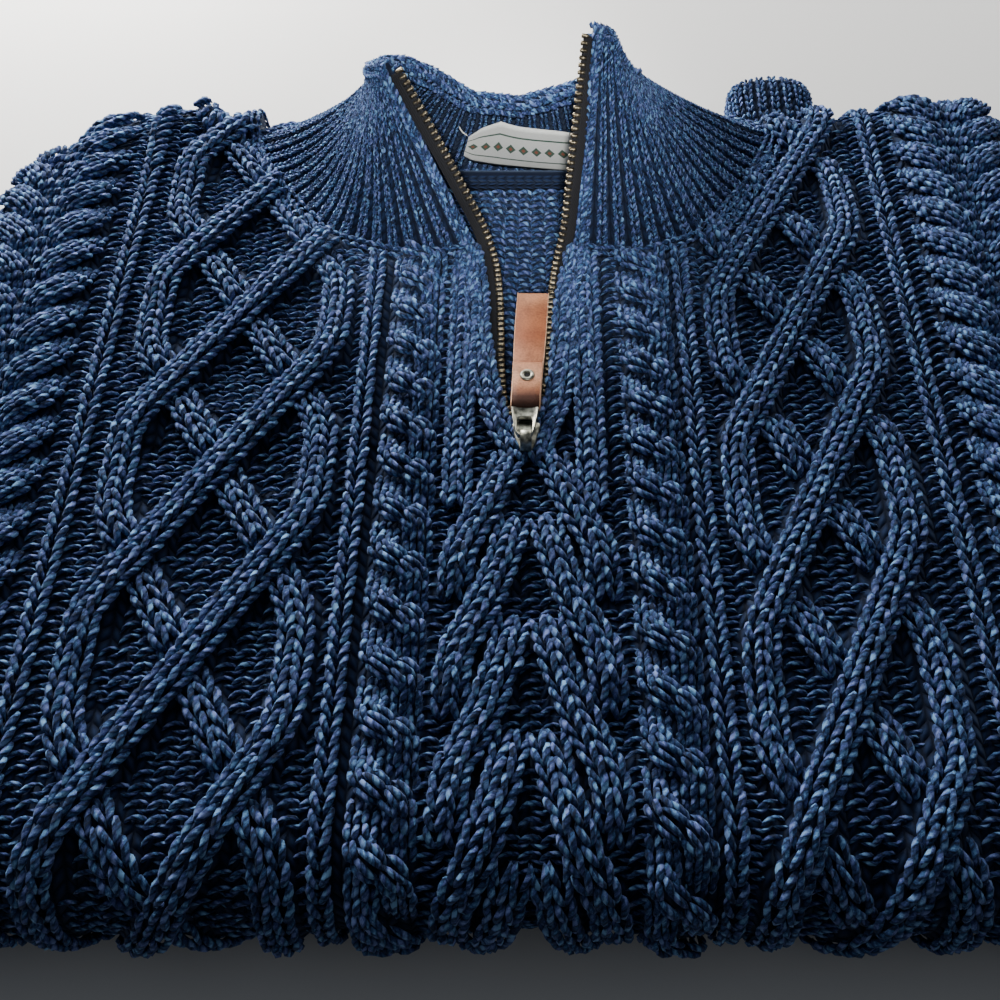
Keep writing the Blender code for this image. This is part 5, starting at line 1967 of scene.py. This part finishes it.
def smooth_path(points: Sequence[Sequence[float]], count: int) -> Array:
    """Evenly spaced points on a smooth curve.

    Args:
        points: what it passes through.
        count: how many points come back.

    Returns:
        count x 3 places.
    """
    points = np.asarray(points, float)
    spans = np.concatenate(([0.0], np.cumsum(np.linalg.norm(np.diff(points, axis=0), axis=1))))
    slopes = np.gradient(points, spans, axis=0)
    distance = np.linspace(0.0, spans[-1], count)
    index = np.clip(np.searchsorted(spans, distance, side="right") - 1, 0, len(spans) - 2)
    length = (spans[index + 1] - spans[index])[:, None]
    t = ((distance - spans[index]) / length[:, 0])[:, None]
    rise, fall = slopes[index] * length, slopes[index + 1] * length
    return (
        points[index] * (2 * t**3 - 3 * t**2 + 1)
        + points[index + 1] * (3 * t**2 - 2 * t**3)
        + rise * (t**3 - 2 * t**2 + t)
        + fall * (t**3 - t**2)
    )


class Side(Enum):
    """The two sides of the zip, as the direction away from its middle."""

    LEFT = -1
    RIGHT = 1


@dataclass
class Zip:
    """Two rows of metal teeth, each clasped on the corded edge of its tape."""

    finishes: Finishes
    pitch: float = 2.25
    half: float = 1.42  # half width of a tooth, across the zip
    thick: float = 0.80  # half length of a tooth, along the zip
    high: float = 1.2
    tape_far: float = 4.0
    slider_x: float = -1.3
    slider_y: float = -4.2
    left: tuple[Triple, ...] = (
        # a row's path, from the slider to the top of the collar
        (-5.0, 3.0, 48.6), (-8.2, 11.0, 48.6), (-9.4, 22.0, 48.6), (-10.0, 40.0, 48.6), (-10.6, 56.0, 48.8),
        (-12.8, 75.0, 49.6), (-15.5, 82.6, 53.5), (-23.0, 90.5, 67.0), (-43.6, 111.2, 99.5),
    )
    right: tuple[Triple, ...] = (
        (2.6, 3.0, 48.6), (4.4, 11.0, 48.6), (5.6, 22.0, 48.6), (6.6, 40.0, 48.6), (7.4, 56.0, 48.8),
        (9.8, 75.0, 49.6), (11.8, 82.8, 53.5), (13.6, 92.5, 67.0), (18.5, 121.3, 105.2),
    )

    def frame(self, side: Side, step: float) -> tuple[Array, Array, Array, Array]:
        """Points along a row, and its directions.

        Args:
            side: which row.
            step: between the points.

        Returns:
            Places, and unit vectors along, away from the zip's middle, and up.
        """
        path = self.left if side is Side.LEFT else self.right
        length = np.linalg.norm(np.diff(smooth_path(path, 200), axis=0), axis=1).sum()
        line = smooth_path(path, int(round(length / step)) + 1)
        along = unit(np.gradient(line, axis=0))
        lateral = unit(np.array((1.0, 0.0, 0.0)) - along * along[:, :1])
        return line, along, lateral * side.value, unit(np.cross(lateral, along))

    def teeth(self, side: Side) -> Piece:
        """One row of teeth, each a rounded bar with a thicker head.

        Args:
            side: which side of the zip.

        Returns:
            The piece.
        """
        line, along, away, up = self.frame(side, self.pitch)
        across = np.array((1.0, 0.86, 0.30, -0.35, -0.80, -1.0)) * self.half
        deep = np.array((0.0, 0.78, 0.92, 0.86, 1.0, 0.0)) * self.thick
        tall = np.array((0.0, 0.80, 0.86, 0.86, 1.0, 0.0)) * self.high
        rings, sides = len(across) - 2, 8
        turn = np.linspace(0.0, 2 * math.pi, sides, endpoint=False) + math.pi / sides
        cosine, sine = np.cos(turn), np.sin(turn)
        square = np.maximum(np.abs(cosine), np.abs(sine)) ** 0.75
        ring = (
            line[:, None, None, :]
            + away[:, None, None, :] * across[None, 1:-1, None, None]
            + along[:, None, None, :] * (deep[1:-1, None] * cosine / square)[None, :, :, None]
            + up[:, None, None, :] * (tall[1:-1, None] * sine / square)[None, :, :, None]
        )
        tips = [line + away * (across[end] * 0.99) for end in (0, -1)]
        count = len(line)
        ring = ring.reshape(count, rings * sides, 3)
        points = np.concatenate((tips[0][:, None], ring, tips[1][:, None]), axis=1)
        one = spindle_faces(rings, sides)
        if side is Side.LEFT:
            one = one[:, ::-1]
        triangles = (one[None] + (np.arange(count) * (rings * sides + 2))[:, None, None]).reshape(-1, 3)
        shape = Shape()
        shape.add(points, triangles, np.zeros((len(triangles), 3, 2)))
        piece = shape.build(f"zip_teeth_row_{side.name.lower()}", self.finishes.brass)
        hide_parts(f"zip_teeth_{side.name.lower()}")
        return piece

    def tape(self, side: Side) -> Piece:
        """One tape: its corded edge between the teeth's legs, and its flat part behind them.

        Args:
            side: which side of the zip.

        Returns:
            The piece.
        """
        line, _, away, up = self.frame(side, 1.2)
        far = self.tape_far
        section = (
            (-0.35, -0.55), (-0.62, 0.0), (-0.35, 0.55), (0.35, 0.62), (0.9, 0.40), (1.5, 0.12), (far, 0.10),
            (far + 0.25, -0.3), (far, -0.75), (1.5, -0.85), (0.5, -0.8),
        )
        ring = np.stack([line + away * across + up * height for across, height in section])
        ring = np.concatenate((ring, ring[:1]))
        shape = Shape()
        shape.rod(ring, flip=side is Side.LEFT)
        piece = shape.skin(f"zip_tape_{side.name.lower()}_woven", self.finishes.tape)
        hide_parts(f"zip_tape_{side.name.lower()}")
        return piece

    def build(self) -> list[Piece]:
        """Makes the rows and tapes and dresses the slider.

        Returns:
            The tapes, which are sewn to the collar.
        """
        tapes = []
        for side in Side:
            self.teeth(side)
            tapes.append(self.tape(side))
        self.slider()
        return tapes

    def slider(self) -> None:
        """The slider: a body that narrows to its nose, and the bail that holds the pull."""
        turn = np.linspace(0.0, 2 * math.pi, 49)
        outline = rounded(self.slider_y, 3.7, 5.8, 0.070, turn) + (self.slider_x, 0.0)
        middle = np.array((self.slider_x, self.slider_y))
        rings = ((0.0, 50.9), (0.9, 50.9), (1.0, 51.3), (1.0, 53.1), (0.9, 53.6), (0.0, 53.6))
        shape = Shape()
        shape.grid(np.stack([level_ring(middle + (outline - middle) * s, z) for s, z in rings]))
        arch = (
            (-9.7, 53.0), (-9.2, 55.1), (-8.4, 56.6), (-6.9, 57.6), (-5.4, 57.5), (-4.4, 56.0), (-4.3, 53.2),
        )
        line = smooth_path([(0.0, y, z) for y, z in arch], 29) + (self.slider_x, 0.0, 0.0)
        tangent = unit(np.gradient(line, axis=0))
        up = together(tangent[:, 0], -tangent[:, 2], tangent[:, 1])
        section = (
            (1.6, -0.4), (1.8, 0.0), (1.6, 0.45), (0.0, 0.5), (-1.6, 0.45), (-1.8, 0.0), (-1.6, -0.4),
            (0.0, -0.5), (1.6, -0.4),
        )
        shape.rod(np.stack([line + np.array((a, 0.0, 0.0)) + up * b for a, b in section]))
        piece = shape.skin("slider_body", self.finishes.metal)
        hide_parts("zip_slider")


def rounded(middle: float, half_x: float, half_y: float, taper: float, turn: Array) -> Array:
    """A rounded four-sided outline that may widen towards +Y.

    Args:
        middle: its middle's y.
        half_x: half width in its middle.
        half_y: half length.
        taper: share of the width gained for each millimetre along it.
        turn: angles round it.

    Returns:
        Places in x and y.
    """
    cosine, sine = np.cos(turn), np.sin(turn)
    x = half_x * np.sign(cosine) * np.abs(cosine) ** 0.4
    y = middle + half_y * np.sign(sine) * np.abs(sine) ** 0.4
    return together(x * (1 + taper * (y - middle)), y)


def level_ring(outline: Array, height: float) -> Array:
    """An outline in x and y, put at a height."""
    return np.concatenate((outline, np.full((len(outline), 1), height)), axis=1)


@dataclass
class ZipPull:
    """The moving pull: metal link, folded leather strap and its eyelet, along +Y from the hinge."""

    finishes: Finishes
    hinge: Triple = (-1.3, -4.6, 55.7)
    tilt_deg: float = -4.5
    turn_deg: float = -1.2
    lean: float = 0.030  # the strap leans to the right as it goes up
    strap_half: float = 5.4
    strap_thick: float = 1.5
    strap_length: float = 82.0
    eyelet_y: float = 21.6
    strap: Pairs = (
        # along the pull and height of the strap's middle: flap end, lower fold, long layer, top end
        (27.6, 1.75), (25.0, 1.80), (21.6, 1.72), (17.0, 1.78), (12.6, 1.60), (10.2, 0.55), (10.2, -0.75),
        (12.6, -1.55), (17.0, -1.50), (24.0, -0.95), (30.0, -0.45), (38.0, 0.10), (46.0, 0.55),
        (54.0, 0.62), (61.2, 0.20),
    )

    def at(self, points: Array) -> Array:
        """Points of the pull's own frame, put in place.

        Args:
            points: places along, across and above the pull.

        Returns:
            Their places on the sweater.
        """
        tilt, turn = math.radians(self.tilt_deg), math.radians(self.turn_deg)
        matrix = np.array(Matrix.Rotation(turn, 3, "Z") @ Matrix.Rotation(tilt, 3, "X"))
        points = points + np.array((self.lean, 0.0, 0.0)) * np.clip(points[..., 1:2] - 24.0, -16.0, None)
        return points @ matrix.T + np.array(self.hinge)

    def strap_line(self, count: int) -> tuple[Array, Array]:
        """The strap's middle line and its upward direction, in its side view.

        Args:
            count: how many points.

        Returns:
            Places and unit vectors.
        """
        rough = np.array([(0.0, y, z) for y, z in self.strap])
        line = smooth_path(rough, count)
        tangent = unit(np.gradient(line, axis=0))
        return line, together(tangent[:, 0], tangent[:, 2], -tangent[:, 1])

    @staticmethod
    def taper(line: Array) -> Array:
        """Share of the strap's width along it: narrower towards the link."""
        return 0.87 + 0.13 * blend(line[:, 1], 12.0, 36.0)

    def leather(self) -> None:
        """The strap and the pale cut edges along it."""
        line, up = self.strap_line(90)
        half, thick = self.strap_half, self.strap_thick / 2
        inner, outer, bevel = half - 0.35, half - 0.05, thick * 0.7
        section = (
            (-inner, thick), (-half * 0.5, thick + 0.06), (0.0, thick + 0.10), (half * 0.5, thick + 0.06),
            (inner, thick), (outer, bevel), (half, 0.0), (outer, -bevel), (inner, -thick),
            (0.0, -thick - 0.03), (-inner, -thick), (-outer, -bevel), (-half, 0.0), (-outer, bevel),
        )
        distance = np.linspace(0.0, 1.0, len(line))
        ends = np.minimum(distance, 1 - distance) * self.strap_length
        x_axis = np.array((1.0, 0.0, 0.0))
        narrow = (1 - 0.10 * np.exp(-((ends / 0.8) ** 2))) * self.taper(line)
        thin = 1 - 0.5 * np.exp(-((ends / 0.35) ** 2))
        wide, deep = narrow[:, None], thin[:, None]
        ring = np.stack([line + x_axis * (a * wide) + up * (b * deep) for a, b in section])
        ring = np.concatenate((ring, ring[:1]))
        shape = Shape()
        around = np.broadcast_to(np.arange(len(ring))[:, None] / len(section), ring.shape[:2])
        uv = together(around, np.broadcast_to(distance, ring.shape[:2]))
        shape.rod(self.at(ring), uv, flip=True)
        strap = shape.skin("leather_strap", self.finishes.leather, Body.PULL)
        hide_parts("pull_leather")
        shape = Shape()
        for side, wide, first in ((-1, 1.25, 46), (-1, 0.35, 0), (1, 0.18, 0)):
            part = slice(first, len(line) if side > 0 or first else 46)
            middle, normal = line[part], up[part]
            fade = np.minimum(1.0, np.linspace(0.0, 6.0, len(middle)))[:, None] if first else 1.0
            bands = (
                (half - wide * fade, thick + 0.07), (half - 0.30, thick + 0.08), (half + 0.06, thick * 0.6),
                (half + 0.10, 0.0), (half + 0.06, -bevel), (half - 0.2, -thick + 0.1), (half - 0.25, 0.0),
            )
            tapered = self.taper(middle)[:, None]
            ring = np.stack([middle + x_axis * (side * a) * tapered + normal * b for a, b in bands])
            ring = np.concatenate((ring, ring[:1]))
            shape.rod(self.at(ring), flip=side > 0)
        shape.skin("leather_cut_edges", self.finishes.cut_edge, Body.PULL)

    def link(self) -> None:
        """The flat link: raised rails round a sunken plate with a hole."""
        turn = np.linspace(0.0, 2 * math.pi, 65)
        outer = rounded(5.1, 3.80, 6.9, 0.045, turn)
        hole = rounded(2.3, 2.4, 3.3, 0.0, turn)
        rings = (
            (0.0, -0.8), (0.0, 0.75), (0.10, 1.05), (0.30, 1.05), (0.48, 0.35), (0.86, 0.35), (1.0, 0.1),
            (1.0, -0.7), (0.9, -0.8), (0.1, -0.8), (0.0, -0.8),
        )
        shape = Shape()
        shape.grid(self.at(np.stack([level_ring(outer + (hole - outer) * s, z) for s, z in rings])))
        link = shape.skin("metal_link", self.finishes.metal, Body.PULL)
        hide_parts("pull_link")

    def eyelet(self) -> None:
        """The eyelet through flap and strap, with a dark disc inside it as painted shade."""
        profile = (
            (2.45, 2.35), (2.40, 2.75), (2.05, 3.10), (1.60, 3.18), (1.15, 3.02), (0.90, 2.65), (0.85, 2.40),
        )
        eyelet = self.turned("strap_eyelet", profile, self.finishes.metal)
        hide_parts("pull_rivet")
        # painted shade: a dark disc in the black tape's material fills the eyelet's middle
        hollow = ((1.0, 2.58), (0.60, 2.64), (0.20, 2.62), (0.0, 2.62), (0.0, 2.50), (1.0, 2.48))
        self.turned("eyelet_hollow", hollow, self.finishes.hollow)

    def turned(self, name: str, profile: Pairs, finish: Finish) -> Piece:
        """A round piece about the eyelet's middle.

        Args:
            name: its name.
            profile: radius and height round its section.
            finish: what it is made of.

        Returns:
            The piece.
        """
        turn = np.linspace(0.0, 2 * math.pi, 49)
        ring = [
            together(radius * np.cos(turn), self.eyelet_y + radius * np.sin(turn), np.full(49, height))
            for radius, height in (*profile, profile[0])
        ]
        shape = Shape()
        shape.grid(self.at(np.stack(ring)))
        return shape.skin(name, finish, Body.PULL)

    def build(self) -> None:
        """Makes the pull's pieces."""
        self.link()
        self.leather()
        self.eyelet()


@dataclass
class NeckLabel:
    """The woven label sewn to the inner side of the collar's back, with a loose thread end."""

    finishes: Finishes
    collar: Collar
    first: float = 0.456
    last: float = 0.583
    thick: float = 0.5
    tops: Pairs = ((0.0, 0.62), (0.10, 0.74), (0.28, 0.84), (0.6, 0.72), (1.0, 0.60))
    feet: Pairs = ((0.0, 0.36), (0.08, 0.26), (0.3, 0.17), (1.0, 0.02))

    def build(self) -> None:
        """Makes the label and its thread."""
        a, b = np.meshgrid(np.linspace(0.0, 1.0, 33), np.linspace(0.0, 1.0, 13))
        top = np.interp(a, *np.array(self.tops).T)
        foot = np.interp(a, *np.array(self.feet).T)
        level = foot + (top - foot) * b
        share = self.first + (self.last - self.first) * a
        place, _, _, outward = self.collar.sample(share, level)
        inward = -unit(outward)
        bow = 1.2 * np.sin(a * math.pi) * np.sin(b * math.pi) + 0.5 * (1 - b)
        face = place + inward * (self.collar.wall + 1.35 + bow)[..., None]
        shape = Shape()
        uv = together(a, b)
        front = shape.grid(face, uv)
        back = shape.grid(face - inward * self.thick, uv, flip=True)
        shape.edges(front, back)
        label = shape.skin("label_woven", self.finishes.label)
        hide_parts("neck_label")
        start = face[-1, 0]
        curve = np.array([(0, 0, 0), (-1.0, 0.2, 1.2), (-2.4, 0.3, 2.4), (-3.2, 0.4, 4.0), (-3.8, 0.4, 5.4)])
        yarn = Yarn(400, sides=6)
        yarn.lay((start + curve)[None], np.array([(0.0, -1.0, 0.0)]), np.full((1, 5), 0.28))
        thread = yarn.build("label_thread", self.finishes.label)


# ---- Room ----


@dataclass(frozen=True)
class Room:
    """Floor, soft light and the camera at the photograph's angle."""

    camera_height: float = 317.0
    camera_back: float = 180.0
    pitch_deg: float = 60.0
    shift: float = -0.03
    sky: tuple[float, float] = (0.055, 0.275)  # the room's light from the front and from the rear

    def camera(self) -> None:
        """Adds the camera."""
        data = bpy.data.cameras.new("camera")
        data.sensor_width = 36.0
        data.lens = 36.0
        data.shift_x = self.shift
        data.clip_start = 0.01
        camera = bpy.data.objects.new("camera", data)
        bpy.context.scene.collection.objects.link(camera)
        camera.location = (np.array((0.0, -self.camera_back, self.camera_height)) - CENTRE) * MM
        camera.rotation_euler = (math.radians(90.0 - self.pitch_deg), 0.0, 0.0)
        bpy.context.scene.camera = camera

    def floor(self, material: bpy.types.Material) -> None:
        """Adds the floor.

        Args:
            material: its finish.
        """
        mesh = bpy.data.meshes.new("floor")
        mesh.from_pydata([(-3, -3, 0), (3, -3, 0), (3, 3, 0), (-3, 3, 0)], [], [(0, 1, 2, 3)])
        mesh.materials.append(material)
        floor = bpy.data.objects.new("floor", mesh)
        floor.location.z = -0.0002
        bpy.context.scene.collection.objects.link(floor)

    def put(self, data: bpy.types.Light, place: Triple, aim: Triple) -> None:
        """Puts a light at a place in metres and aims it.

        Args:
            data: the light.
            place: where it stands.
            aim: where it looks.
        """
        lamp = bpy.data.objects.new(data.name, data)
        bpy.context.scene.collection.objects.link(lamp)
        lamp.location = place
        lamp.rotation_euler = (Vector(aim) - Vector(place)).to_track_quat("-Z", "Y").to_euler()

    def lamp(self, name: str, place: Triple, aim: Triple, size: float, power: float, colour: Triple) -> None:
        """Adds a soft area light.

        Args:
            name: its name.
            place: where it stands, in metres.
            aim: where it looks.
            size: its side, in metres.
            power: in watts.
            colour: of its light.
        """
        data = bpy.data.lights.new(name, "AREA")
        data.size = size
        data.energy = power
        data.color = colour
        self.put(data, place, aim)

    def neck_lamp(self) -> None:
        """Adds a narrow soft light that reaches the label inside the neck."""
        data = bpy.data.lights.new("neck_light", "SPOT")
        data.energy = 150.0
        data.spot_size = math.radians(6.2)
        data.spot_blend = 1.0
        data.shadow_soft_size = 0.06
        self.put(data, (0.0, -0.55, 0.72), (-0.006, 0.118, 0.045))

    def build(self, finishes: Finishes) -> None:
        """Adds floor, lights and camera.

        Args:
            finishes: for the floor's material.
        """
        self.floor(finishes.floor)
        self.lamp("key_light", (-0.29, 0.47, 0.225), (-0.06, 0.05, 0.04), 0.24, 7.8, (1.0, 0.98, 0.95))
        self.lamp("right_light", (0.36, 0.46, 0.24), (0.12, 0.02, 0.04), 0.26, 1.1, (1.0, 0.98, 0.95))
        self.lamp("fill_light", (-0.20, 0.80, 0.78), (0.0, 0.06, 0.03), 0.8, 6.6, (0.90, 0.95, 1.0))
        self.neck_lamp()
        world = bpy.data.worlds.new("soft_light")
        world.use_nodes = True
        nodes, links = world.node_tree.nodes, world.node_tree.links
        background = nodes["Background"]
        background.inputs[0].default_value = (0.80, 0.86, 0.95, 1.0)
        direction = nodes.new("ShaderNodeSeparateXYZ")
        links.new(nodes.new("ShaderNodeTexCoord").outputs["Generated"], direction.inputs[0])
        level = nodes.new("ShaderNodeMapRange")
        level.inputs["From Min"].default_value = -1.0
        level.inputs["To Min"].default_value, level.inputs["To Max"].default_value = self.sky
        links.new(direction.outputs["Y"], level.inputs["Value"])
        links.new(level.outputs["Result"], background.inputs[1])
        bpy.context.scene.world = world
        self.camera()


def main() -> None:
    """Builds the room and the sweater's pieces in order."""
    logging.basicConfig(level=logging.INFO, format="%(name)s: %(message)s")
    finishes = Finishes()
    Room().build(finishes)
    drape, chart = Drape(), Chart()
    FrontPanel(finishes, drape, chart).build()
    tapes = Zip(finishes).build()
    collar = Collar(finishes)
    collar.build(tapes)
    NeckLabel(finishes, collar).build()
    ZipPull(finishes).build()
    BackPanel(finishes).build()
    FoldedLayers(finishes, drape).build()
    Cuff(finishes).build()


if __name__ == "__main__":
    main()
